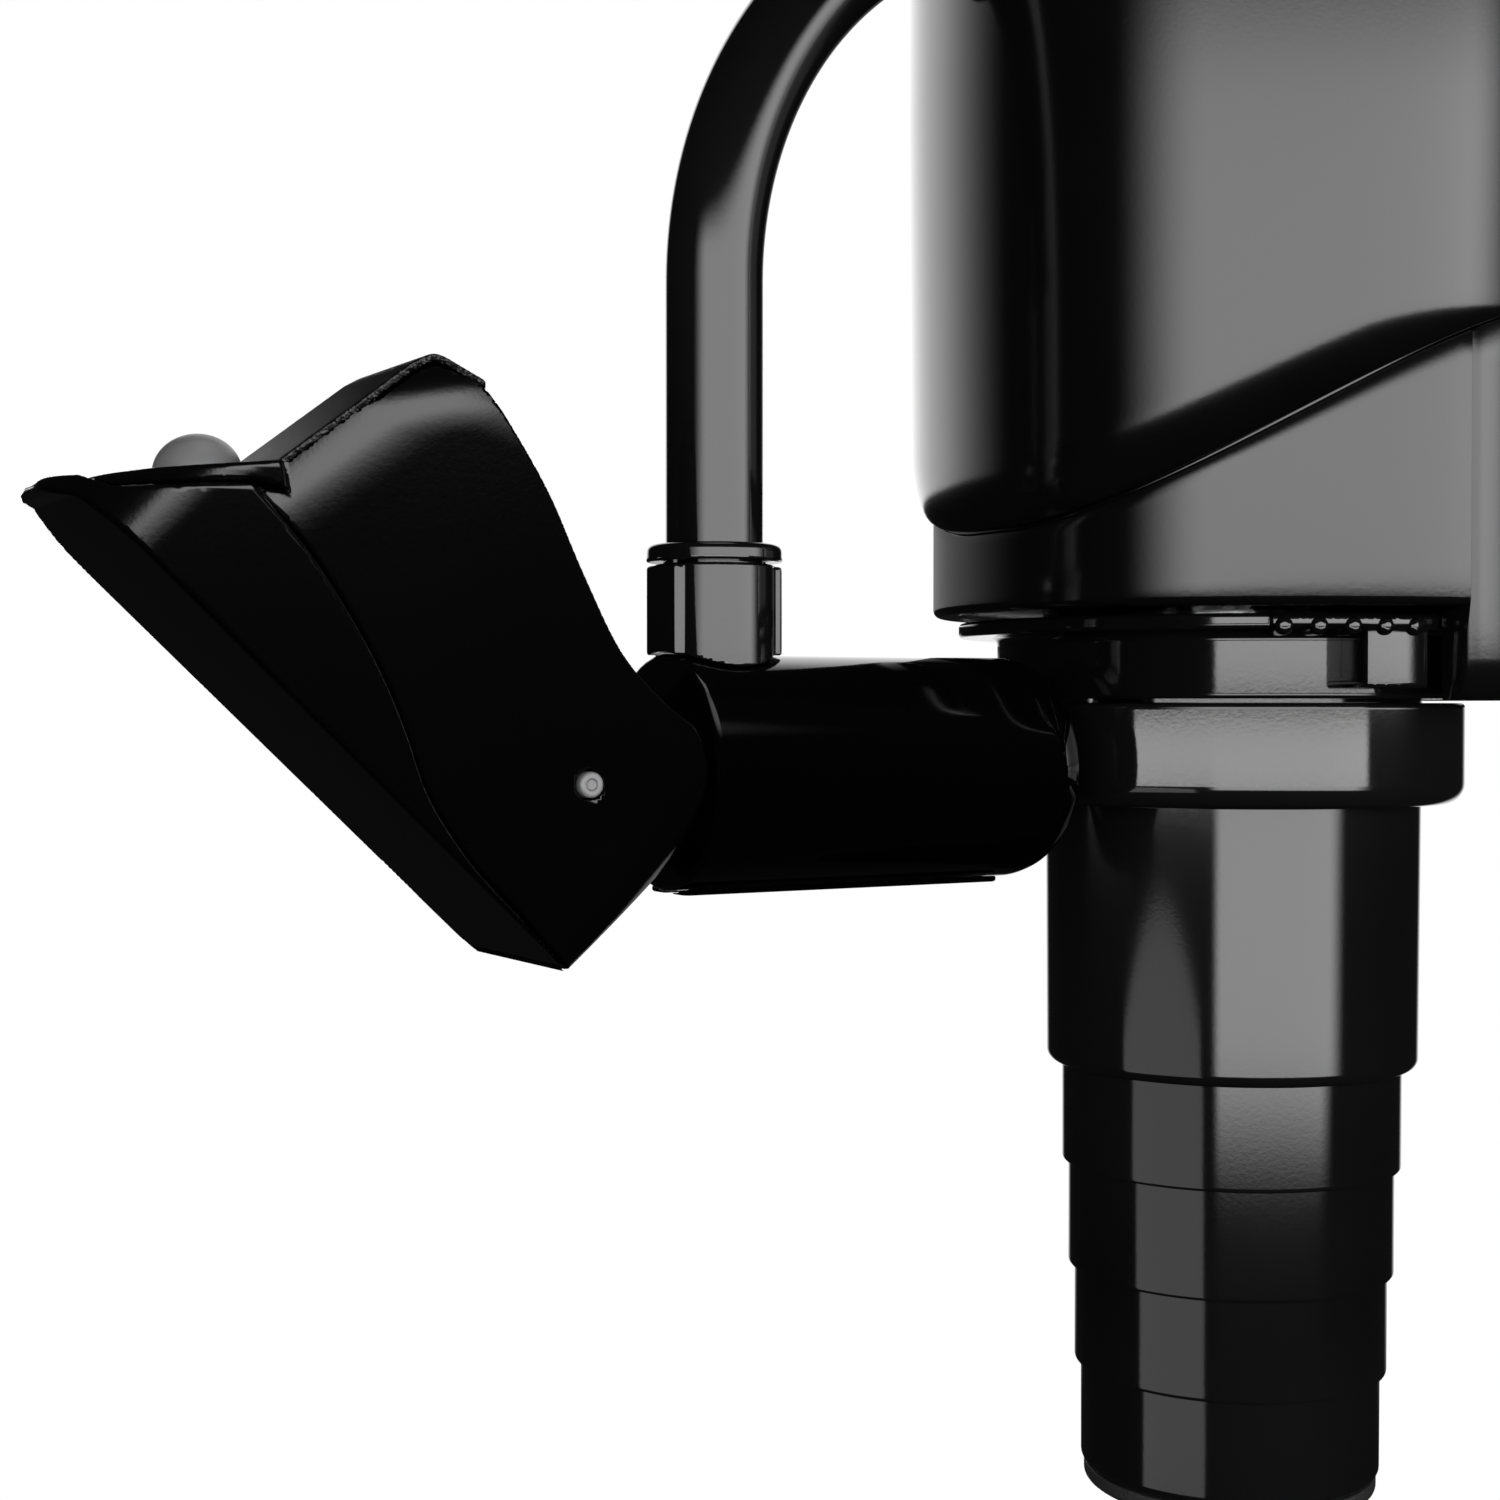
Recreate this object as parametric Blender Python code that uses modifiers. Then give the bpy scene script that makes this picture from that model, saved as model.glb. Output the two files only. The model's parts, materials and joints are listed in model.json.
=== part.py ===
"""Pot-clamped immersion circulator with a telescoping skirt, a carry handle and a hinged clamp lever.

Frame: the origin is the middle of the rim seat, the flat underside of the pad that rests on a pot's rim.
+Z is up, and the arm runs along -X from the column to the lever. Lengths in this file are millimetres,
and every helper turns them into Blender's metres with MM.
"""
import bmesh
import bpy
from math import asin, atan2, cos, degrees, pi, radians, sin
from mathutils import Matrix, Vector

MM = 0.001
GAP = 0.3                       # clearance left between touching pieces

# Column and skirt
COLUMN_X = 66.0                 # column axis, ahead of the rim seat
STAGE_OUTER = (28.0, 25.4, 24.4, 23.4, 22.4)
STAGE_INNER = (25.7, 24.7, 23.7, 22.7, 20.9)
STAGE_BOTTOM = (-29.3, -44.5, -60.4, -75.2, -90.5)
STAGE_LENGTH = 60.0
STAGE_LIP = 1.2

# Clamp ring, lock ring
RING_R, RING_LOW, RING_HIGH = 34.0, 10.2, 25.0
COLLAR_BORE = 28.4
NECK_R, NECK_LOW = 35.3, 25.6
FLANGE_R, FLANGE_LOW, FLANGE_HIGH = 41.2, 34.9, 37.1
TAB_R, TAB_FROM, TAB_TO = 42.6, -125.0, -92.5
STOP_FROM, STOP_LOW = -107.0, 27.0
RIDGE_COUNT, RIDGE_R, RIDGE_PITCH_DEG = 5, 1.3, 6.4

# Housings
COLLAR_R, COLLAR_BACK_R = 45.1, 48.3
COLLAR_FLOOR, COLLAR_BOTTOM, SKIRT_BOTTOM, SKIRT_ROLL = 38.4, 38.0, 25.4, 5.6
COLLAR_INNER_R, SPIGOT_R, SPIGOT_TOP = 42.0, 44.9, 93.9
FLOOR_HOLE_R, FLOOR_TOP = 19.0, 41.2
HOUSING_R, HOUSING_TOP_R, HOUSING_INNER_R = 48.6, 49.2, 45.4
SEAM_LOW, SEAM_RISE = 49.6, 31.0
HOUSING_TOP, SHOULDER_R = 176.0, 7.7
PANEL_R, PANEL_LOW, PANEL_HIGH = 37.7, 172.5, 175.7
HOUSING_STEPS = 52

# Arm
ARM_R, ARM_Z = 15.5, 15.9
ARM_TIP, ARM_NOSE, ARM_NOSE_FILLET = -31.8, 29.3, 8.0
PAD_FROM, PAD_TO, PAD_HALF_WIDTH = -31.0, 19.0, 5.0

# Carry handle
HANDLE_X, TUBE_R = -23.8, 6.5
TUBE_FOOT, TUBE_BEND_Z, TUBE_BEND_R, TUBE_BEND_DEG = 34.0, 80.4, 58.5, 68.0
NUT_R, NUT_LOW, NUT_HIGH = 9.0, 43.5, 45.8
SOCKET_R, SOCKET_LUG_R = 7.9, 8.2

# Lever, placed from its hinge pin; reach grows towards the nose, rise grows upwards
PIN_X, PIN_Z, PIN_R, PIN_HALF = -48.9, 15.0, 1.6, 14.6
LEVER_HALF_WIDTH, HEEL_R = 15.0, 16.6
TAIL = (1.3, -24.5)
SOLE_END = (60.8, 32.7)
NOSE = (64.3, 34.2)
DECK = (42.1, 37.1)
FRONT_FOOT, FRONT_TOP = (38.8, 37.2), (22.2, 49.8)
INLAY_HALF = 11.0
CHEEK_R, CHEEK_DEPTH = 19.5, 9.0
SLOT_R, SLOT_HALF, LEVER_SWING = 6.6, 6.6, 45.0
KNUCKLE_R, KNUCKLE_HALF = 6.0, 4.9
BUTTON_REACH, BUTTON_R = 44.2, 5.2

# Wet end
SHAFT_R, SHAFT_TOP, SHAFT_LOW = 2.5, 160.0, -75.0
CORE_R, CORE_BORE, CORE_LOW = 7.0, 3.0, -61.0
HEATER_R, HEATER_WIRE, HEATER_TURNS = 15.5, 2.2, 4
IMPELLER_R, FAN_R = 17.0, 20.0

PARTS = "immersion_circulator"
CUTTERS = "cutters"


def start_scene():
    for old in list(bpy.data.objects):
        bpy.data.objects.remove(old, do_unlink=True)
    for title in (PARTS, CUTTERS):
        collection = bpy.data.collections.new(title)
        bpy.context.scene.collection.children.link(collection)


def plastic(name, grey, roughness, metallic=0.0, tint=(1.0, 1.0, 1.0)):
    """One Principled material; every node gets its own."""
    made = bpy.data.materials.new(name)
    made.use_nodes = True
    shader = made.node_tree.nodes["Principled BSDF"]
    shader.inputs["Base Color"].default_value = (grey * tint[0], grey * tint[1], grey * tint[2], 1.0)
    shader.inputs["Roughness"].default_value = roughness
    shader.inputs["Metallic"].default_value = metallic
    return made


FINISHES = {
    "gloss": (0.012, 0.24, 0.0, (1.0, 1.0, 1.0)),
    "matte": (0.02, 0.5, 0.0, (1.0, 1.0, 1.0)),
    "rubber": (0.02, 0.8, 0.0, (1.0, 1.0, 1.0)),
    "steel": (0.55, 0.3, 1.0, (1.0, 1.0, 1.02)),
    "dark_steel": (0.12, 0.35, 1.0, (1.0, 1.0, 1.0)),
    "board": (0.2, 0.6, 0.0, (0.15, 0.6, 0.3)),
    "lens": (0.02, 0.06, 0.0, (1.0, 1.05, 1.1)),
    "grey": (0.3, 0.35, 0.0, (1.0, 1.0, 1.0)),
}


def put(name, mesh, finish, at=(0.0, 0.0, 0.0)):
    """Link a mesh or curve as the node called name, or as a cutter where finish is None."""
    made = bpy.data.objects.new(name, mesh)
    made.location = Vector(at) * MM
    if finish is None:
        made.hide_render = True
        made.display_type = "WIRE"
        bpy.data.collections[CUTTERS].objects.link(made)
        return made
    mesh.materials.append(plastic(name, *FINISHES[finish]))
    bpy.data.collections[PARTS].objects.link(made)
    return made


def turned(name, profile, finish, at=(COLUMN_X, 0.0, 0.0), steps=40, closed=True):
    """Turn a (radius, z) profile about Z; it runs down the outer side, then back up the inside."""
    mesh = bpy.data.meshes.new(name)
    points = [(radius * MM, 0.0, z * MM) for radius, z in profile]
    edges = [(i, i + 1) for i in range(len(points) - 1)]
    if closed:
        edges.append((len(points) - 1, 0))
    mesh.from_pydata(points, edges, [])
    made = put(name, mesh, finish, at)
    screw = made.modifiers.new("turn", "SCREW")
    screw.axis = "Z"
    screw.steps = steps
    screw.render_steps = steps
    screw.use_merge_vertices = True
    screw.merge_threshold = 0.00001
    screw.use_smooth_shade = True
    return made


def solid_turned(name, profile, finish, at=(COLUMN_X, 0.0, 0.0), steps=24):
    """Turn a solid: the profile starts and ends on the axis and isn't closed along it."""
    return turned(name, profile, finish, at, steps, closed=False)


def box(name, low, high, finish, bevel=0.0):
    """A box between two corners, with its origin at its middle."""
    low, high = Vector(low), Vector(high)
    bm = bmesh.new()
    bmesh.ops.create_cube(bm, size=1.0, matrix=Matrix.Diagonal((*((high - low) * MM), 1.0)))
    mesh = bpy.data.meshes.new(name)
    bm.to_mesh(mesh)
    bm.free()
    made = put(name, mesh, finish, (low + high) / 2)
    if bevel:
        round_edges(made, bevel)
    return made


def rod(name, start, end, radius, finish, sides=32):
    """A cylinder between two points."""
    start, end = Vector(start), Vector(end)
    turn = (end - start).to_track_quat("Z", "Y").to_matrix().to_4x4()
    bm = bmesh.new()
    bmesh.ops.create_cone(bm, cap_ends=True, segments=sides, radius1=radius * MM, radius2=radius * MM,
                          depth=(end - start).length * MM, matrix=turn)
    mesh = bpy.data.meshes.new(name)
    bm.to_mesh(mesh)
    bm.free()
    mesh.shade_smooth()
    mesh.set_sharp_from_angle(angle=radians(35))
    return put(name, mesh, finish, (start + end) / 2)


def round_edges(made, width, segments=2, angle=35.0):
    bevel = made.modifiers.new("round", "BEVEL")
    bevel.width = width * MM
    bevel.segments = segments
    bevel.limit_method = "ANGLE"
    bevel.angle_limit = radians(angle)


def combine(made, tool, operation="DIFFERENCE"):
    """Boolean with a cutter object."""
    boolean = made.modifiers.new(tool.name, "BOOLEAN")
    boolean.operation = operation
    boolean.solver = "EXACT"
    boolean.object = tool


def as_mesh(curve_object):
    """Swap a curve object for a welded mesh object of the same name and place."""
    bpy.context.view_layer.update()
    evaluated = curve_object.evaluated_get(bpy.context.evaluated_depsgraph_get())
    mesh = bpy.data.meshes.new_from_object(evaluated)
    bm = bmesh.new()
    bm.from_mesh(mesh)
    bmesh.ops.remove_doubles(bm, verts=bm.verts, dist=0.00002)
    bm.to_mesh(mesh)
    bm.free()
    name = curve_object.name
    made = bpy.data.objects.new(name + "_mesh", mesh)
    made.matrix_world = curve_object.matrix_world.copy()
    made.hide_render = curve_object.hide_render
    made.display_type = curve_object.display_type
    curve_object.users_collection[0].objects.link(made)
    bpy.data.objects.remove(curve_object, do_unlink=True)
    made.name = name
    return made


def tube(name, path, radius, finish, sides_level=2):
    """A round wire or pipe along a list of points."""
    curve = bpy.data.curves.new(name, "CURVE")
    curve.dimensions = "3D"
    curve.bevel_depth = radius * MM
    curve.bevel_resolution = sides_level
    curve.use_fill_caps = True
    spline = curve.splines.new("POLY")
    spline.points.add(len(path) - 1)
    for point, place in zip(spline.points, path):
        point.co = (*(Vector(place) * MM), 1.0)
    spline.use_smooth = True
    return put(name, curve, finish)


def plate(name, outline, half_thickness, finish, at, turn):
    """A flat outline given half its thickness each way, then turned and placed."""
    curve = bpy.data.curves.new(name, "CURVE")
    curve.dimensions = "2D"
    curve.fill_mode = "BOTH"
    curve.extrude = half_thickness * MM
    spline = curve.splines.new("POLY")
    spline.points.add(len(outline) - 1)
    for point, (u, v) in zip(spline.points, outline):
        point.co = (u * MM, v * MM, 0.0, 1.0)
    spline.use_cyclic_u = True
    made = put(name, curve, finish, at)
    made.rotation_euler = turn
    return as_mesh(made)


def arc(centre, radius, start_deg, end_deg, count):
    """Points on a circle from one angle to another, both ends included."""
    angles = [radians(start_deg + (end_deg - start_deg) * i / count) for i in range(count + 1)]
    return [(centre[0] + radius * cos(a), centre[1] + radius * sin(a)) for a in angles]


def smooth_through(points, per_span):
    """Catmull-Rom points through a list, so that an outline needs few of its own."""
    ends = [points[0], *points, points[-1]]
    result = []
    for p0, p1, p2, p3 in zip(ends, ends[1:], ends[2:], ends[3:]):
        for i in range(per_span):
            t = i / per_span
            result.append(tuple(
                0.5 * (2 * b + (c - a) * t + (2 * a - 5 * b + 4 * c - d) * t * t
                       + (3 * b - a - 3 * c + d) * t ** 3)
                for a, b, c, d in zip(p0, p1, p2, p3)))
    result.append(points[-1])
    return result


def smoothstep(value):
    value = min(1.0, max(0.0, value))
    return value * value * (3 - 2 * value)


def from_arm(angle):
    """Degrees round the column from the arm's direction, 0 at the arm and 180 at the back."""
    return abs((degrees(angle) % 360.0) - 180.0)


def seam_height(angle):
    """The seam between the housings sweeps up from the arm's side to the back."""
    return SEAM_LOW + SEAM_RISE * smoothstep((from_arm(angle) - 5.0) / 115.0)


def collar_radius(angle):
    """The collar stands back from the housing at the arm and swells flush with it behind."""
    return COLLAR_R + (COLLAR_BACK_R - COLLAR_R) * smoothstep((from_arm(angle) - 60.0) / 50.0)


def lofted_ring(name, loop_at, steps, finish):
    """A wall round the column whose section changes with the angle."""
    bm = bmesh.new()
    columns = []
    for step in range(steps):
        angle = 2 * pi * step / steps
        columns.append([bm.verts.new((radius * cos(angle) * MM, radius * sin(angle) * MM, z * MM))
                        for radius, z in loop_at(angle)])
    for here, there in zip(columns, columns[1:] + columns[:1]):
        for i in range(len(here)):
            j = (i + 1) % len(here)
            bm.faces.new((here[i], here[j], there[j], there[i]))
    mesh = bpy.data.meshes.new(name)
    bm.to_mesh(mesh)
    bm.free()
    mesh.shade_smooth()
    mesh.set_sharp_from_angle(angle=radians(35))
    return put(name, mesh, finish, (COLUMN_X, 0.0, 0.0))


def make_housings():
    """Upper housing with its shoulder, seam edge, panel ledge and rear vents; and the collar under it."""
    def upper_loop(angle):
        seam = seam_height(angle)
        flush = smoothstep((from_arm(angle) - 65.0) / 50.0)
        roll = 10.0 - 8.8 * flush
        edge_r = max(collar_radius(angle), HOUSING_INNER_R) + 0.4
        wall_r = HOUSING_R + (HOUSING_TOP_R - HOUSING_R) * (seam + roll - 60.0) / 51.0
        shoulder = arc((HOUSING_TOP_R - SHOULDER_R, HOUSING_TOP - SHOULDER_R), SHOULDER_R, 90, 0, 3)
        rolled = [(edge_r + (wall_r - edge_r) * cos(radians(a)), seam + roll * (1 - sin(radians(a))))
                  for a in (0, 25, 50, 70, 90)]
        inner = [(HOUSING_INNER_R, seam), (HOUSING_INNER_R, 163.0), (42.0, 168.0), (36.0, 168.6),
                 (36.0, PANEL_LOW - GAP), (38.0, PANEL_LOW - GAP), (38.0, HOUSING_TOP)]
        return shoulder + [(HOUSING_TOP_R, 111.0)] + rolled + inner

    upper = lofted_ring("upper_housing", upper_loop, HOUSING_STEPS, "gloss")
    for slot in range(6):
        z = 116.0 + 5.0 * slot
        combine(upper, box(f"vent_cut_{slot}", (COLUMN_X + 38, -15, z), (COLUMN_X + 56, 15, z + 2.2), None))
    combine(upper, rod("gland_cut", (COLUMN_X + 38, 0, 104), (COLUMN_X + 56, 0, 104), 4.6, None))

    def collar_loop(angle):
        skirt_r = collar_radius(angle)
        seam = seam_height(angle) - GAP
        rolled = [(skirt_r - 2.4 * (1 - cos(radians(a))), SKIRT_BOTTOM + SKIRT_ROLL * (1 - sin(radians(a))))
                  for a in (0, 35, 65, 90)]
        return [(SPIGOT_R, SPIGOT_TOP), (SPIGOT_R, seam), (skirt_r, seam), *rolled,
                (COLLAR_INNER_R + 0.2, SKIRT_BOTTOM), (COLLAR_INNER_R, COLLAR_FLOOR),
                (FLOOR_HOLE_R, COLLAR_FLOOR), (FLOOR_HOLE_R, FLOOR_TOP), (COLLAR_INNER_R, FLOOR_TOP),
                (COLLAR_INNER_R, SPIGOT_TOP)]

    lower = lofted_ring("lower_housing", collar_loop, HOUSING_STEPS, "gloss")
    combine(lower, box("skirt_cut", (COLUMN_X - 60, -60, 20), (COLUMN_X, 60, COLLAR_BOTTOM), None))


def make_control_top():
    """Panel with the display, the selector dial, three keys and the boards and switches under them."""
    dial_x, dial_r = COLUMN_X - 10.0, 13.0
    keys = {"key_power": (COLUMN_X - 29.0, 0.0), "key_time": (COLUMN_X - 10.0, -24.0),
            "key_heat": (COLUMN_X - 10.0, 24.0)}
    panel = solid_turned("top_panel", [(0, PANEL_HIGH), (PANEL_R - 0.8, PANEL_HIGH),
                                       (PANEL_R, PANEL_HIGH - 0.8), (PANEL_R, PANEL_LOW), (0, PANEL_LOW)],
                         "gloss", steps=48)
    combine(panel, rod("dial_hole", (dial_x, 0, 160), (dial_x, 0, 190), 4.3, None, 24))
    combine(panel, box("lens_recess", (COLUMN_X + 8.7, -18.3, 173.9), (COLUMN_X + 27.3, 18.3, 180), None))
    box("display_lens", (COLUMN_X + 9.0, -18.0, 174.2), (COLUMN_X + 27.0, 18.0, 176.0), "lens", 0.3)
    board_top = 163.8
    board = box("control_board", (COLUMN_X - 34, -28, 162.2), (COLUMN_X + 28, 28, board_top), "board")
    combine(board, rod("board_hole", (COLUMN_X, 0, 155), (COLUMN_X, 0, 170), 3.4, None, 16))
    box("dial_encoder", (dial_x - 6, -6, board_top + GAP), (dial_x + 6, 6, 168.2), "matte", 0.4)
    dial = solid_turned("selector_dial", [
        (0, 187.6), (dial_r - 3.0, 187.6), (dial_r - 1.4, 187.1), (dial_r - 0.6, 185.8), (dial_r, 177.0),
        (dial_r - 0.6, 176.2), (4.0, 176.2), (4.0, 168.6), (0, 168.6)], "matte", (dial_x, 0, 0), 28)
    combine(dial, box("dial_mark", (dial_x - 12, -0.7, 187.0), (dial_x - 5, 0.7, 189.0), None))
    for name, (x, y) in keys.items():
        combine(panel, rod(name + "_hole", (x, y, 160), (x, y, 190), 4.3, None, 24))
        solid_turned(name, [(0, 177.3), (3.0, 177.2), (4.0, 176.4), (4.0, PANEL_LOW - GAP),
                            (5.2, PANEL_LOW - GAP), (5.2, 171.0), (0, 171.0)], "matte", (x, y, 0), 24)
        solid_turned(name + "_switch", [(0, 169.6), (1.6, 169.6), (2.8, 168.0), (2.8, board_top + GAP),
                                        (0, board_top + GAP)], "dark_steel", (x, y, 0), 16)


def make_drive():
    """Chassis plate, motor, boards and the turning shaft with its fan and impeller."""
    plate_low, plate_high = SPIGOT_TOP + GAP, SPIGOT_TOP + 3.2
    turned("chassis_plate", [(44.6, plate_high), (44.6, plate_low), (3.4, plate_low), (3.4, plate_high)],
           "dark_steel", steps=36)
    motor_low = plate_high + GAP
    turned("motor_can", [(6.0, 143.0), (7.0, 140.0), (17.0, 140.0), (18.0, 139.0), (18.0, motor_low + 1),
                         (17.0, motor_low), (3.4, motor_low), (3.4, 143.0)], "steel", steps=28)
    box("power_board", (COLUMN_X + 26, -22, motor_low), (COLUMN_X + 27.6, 22, 152), "board")
    box("transformer", (COLUMN_X + 28, -12, 118), (COLUMN_X + 38, 12, 146), "matte", 0.8)
    for number in range(3):
        angle = radians(60 + 120 * number)
        x, y = COLUMN_X + 34 * cos(angle), 34 * sin(angle)
        solid_turned(f"chassis_screw_{number + 1}", [
            (0, motor_low + 2.0), (2.0, motor_low + 1.8), (3.0, motor_low + 0.8), (3.0, motor_low),
            (0, motor_low)], "steel", (x, y, 0), 16)
    solid_turned("drive_shaft", [(0, SHAFT_TOP), (SHAFT_R - 0.3, SHAFT_TOP), (SHAFT_R, SHAFT_TOP - 0.5),
                                 (SHAFT_R, SHAFT_LOW), (0, SHAFT_LOW)], "steel", steps=16)
    bladed("cooling_fan", FAN_R, 7.0, 145.0, 153.0, 7, "matte")
    bladed("impeller", IMPELLER_R, 5.5, -73.0, -65.0, 6, "grey")


def bladed(name, reach, hub_r, low, high, blades, finish):
    """A hub with flat blades set at a slant, bored for the shaft."""
    bore = SHAFT_R + GAP
    hub = turned(name, [(hub_r, high), (hub_r, low), (bore, low), (bore, high)], finish, steps=24)
    middle, half = (low + high) / 2, (high - low) / 2 - 0.8
    for number in range(blades):
        cutter = box(f"{name}_blade_{number}", (hub_r - 1.5, -0.6, -half), (reach, 0.6, half), None)
        lean = Matrix.Rotation(radians(25), 4, "X")
        around = Matrix.Rotation(2 * pi * number / blades, 4, "Z")
        out = Matrix.Translation(((hub_r - 1.5 + reach) / 2 * MM, 0, 0))
        cutter.matrix_world = Matrix.Translation((COLUMN_X * MM, 0, middle * MM)) @ around @ out @ lean
        combine(hub, cutter, "UNION")


def make_wet_end():
    """Fixed core under the collar: seal plate, core tube, heating element and probes."""
    turned("seal_plate", [(FLOOR_HOLE_R - GAP, 41.0), (FLOOR_HOLE_R - GAP, 38.6), (CORE_R + GAP, 38.6),
                          (CORE_R + GAP, 41.0)], "steel", steps=40)
    turned("core_tube", [(CORE_R, 60.0), (CORE_R, CORE_LOW + 1), (CORE_R - 1, CORE_LOW),
                         (CORE_BORE, CORE_LOW), (CORE_BORE, 60.0)], "steel", steps=28)
    top, high, low, points_per_turn = 38.2, -2.0, -54.0, 10
    count = HEATER_TURNS * points_per_turn
    coil = []
    for i in range(count + 1):
        angle = 2 * pi * i / points_per_turn
        z = high + (low - high) * i / count
        coil.append((COLUMN_X + HEATER_R * cos(angle), HEATER_R * sin(angle), z))
    back_r = 10.2
    legs_in = [(COLUMN_X + HEATER_R, 0, top), (COLUMN_X + HEATER_R, 0, high + 3)]
    legs_out = [(COLUMN_X + HEATER_R - 1.5, 1.5, low - 1.5), (COLUMN_X + back_r + 1.2, 1.5, low - 1.0),
                (COLUMN_X + back_r, 1.0, low + 2.0), (COLUMN_X + back_r, 0, top)]
    tube("heater_coil", legs_in + coil[1:] + legs_out, HEATER_WIRE, "steel", 1)
    probes = {"temperature_probe": (110, 1.6, -46.0), "level_probe_high": (200, 1.2, -6.0),
              "level_probe_low": (240, 1.2, -30.0)}
    for name, (angle, radius, low_end) in probes.items():
        x, y = COLUMN_X + 10.2 * cos(radians(angle)), 10.2 * sin(radians(angle))
        profile = [(0, top), (radius, top), (radius, low_end + 1), (radius - 0.6, low_end), (0, low_end)]
        solid_turned(name, profile, "steel", (x, y, 0), 14)


def make_skirt():
    """Five nested tubes: the top one is fixed, the rest slide down out of each other."""
    for number, (outer, inner, bottom) in enumerate(zip(STAGE_OUTER, STAGE_INNER, STAGE_BOTTOM), start=1):
        top = 37.6 if number == 1 else bottom + STAGE_LENGTH
        draft = 0.4 if number == 1 else 0.15
        lip = 2.0 if number == 1 else STAGE_LIP
        foot_r = outer - draft
        chamfer = min(lip, (foot_r - inner) * 0.75)
        wall = [(outer, top), (foot_r, bottom + lip), (foot_r - chamfer * 0.35, bottom + lip * 0.3),
                (foot_r - chamfer, bottom), (inner, bottom), (inner, top)]
        if number == len(STAGE_OUTER):
            wall = wall[:3] + [(foot_r - 1.2, bottom), (18.4, bottom), (18.4, bottom + 2.4),
                               (inner, bottom + 2.4), (inner, top)]
        turned(f"skirt_stage_{number}", wall, "gloss", steps=40)
    foot = STAGE_BOTTOM[-1]
    strainer_r = STAGE_INNER[-1] - GAP
    strainer = turned("foot_strainer", [(strainer_r, foot + 4.6), (strainer_r, foot + 2.7), (3.0, foot + 2.7),
                                        (3.0, foot + 4.6)], "steel", steps=32)
    for number in range(8):
        angle = 2 * pi * (number + 0.3) / 8
        middle = (COLUMN_X + 12.5 * cos(angle), 12.5 * sin(angle))
        combine(strainer, rod(f"strainer_hole_{number}", (*middle, foot), (*middle, foot + 9), 3.1, None, 10))
    turned("foot_bumper", [(21.8, foot - GAP), (21.8, foot - 2.0), (21.2, foot - 2.8), (18.6, foot - 2.8),
                           (18.6, foot - GAP)], "rubber", steps=36)


def make_clamp_ring():
    turned("clamp_ring", [(RING_R, RING_HIGH), (RING_R, RING_LOW + 3.0), (RING_R - 0.9, RING_LOW + 0.9),
                          (RING_R - 3.0, RING_LOW), (COLLAR_BORE, RING_LOW), (COLLAR_BORE, RING_HIGH)],
           "gloss", steps=44)


def make_lock_ring():
    """Bayonet ring that locks the head to the arm, with a ridged thumb tab."""
    ring = turned("lock_ring", [
        (FLANGE_R, FLANGE_HIGH), (FLANGE_R, FLANGE_LOW), (NECK_R, FLANGE_LOW), (NECK_R, NECK_LOW),
        (COLLAR_BORE, NECK_LOW), (COLLAR_BORE, FLANGE_HIGH)], "gloss", steps=44)

    def sector(name, outer, first, last, low, high):
        outline = arc((0, 0), outer, first, last, 8) + arc((0, 0), NECK_R - 0.8, last, first, 8)
        return plate(name, outline, (high - low) / 2, None, (COLUMN_X, 0, (low + high) / 2), (0, 0, 0))

    body = sector("tab_body", TAB_R, TAB_FROM, TAB_TO, FLANGE_LOW + 0.3, FLANGE_HIGH - 0.3)
    stop = sector("tab_stop", TAB_R - 0.5, STOP_FROM, TAB_TO - 0.4, STOP_LOW, FLANGE_LOW + 1.0)
    combine(ring, body, "UNION")
    combine(ring, stop, "UNION")
    for number in range(RIDGE_COUNT):
        angle = radians(TAB_FROM + 2.5 + RIDGE_PITCH_DEG * number)
        inner, outer = 36.0, TAB_R + 0.4
        start = (COLUMN_X + inner * cos(angle), inner * sin(angle), FLANGE_LOW + 0.45)
        end = (COLUMN_X + outer * cos(angle), outer * sin(angle), FLANGE_LOW + 0.45)
        combine(ring, rod(f"tab_ridge_{number}", start, end, RIDGE_R, None, 12), "UNION")


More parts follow.
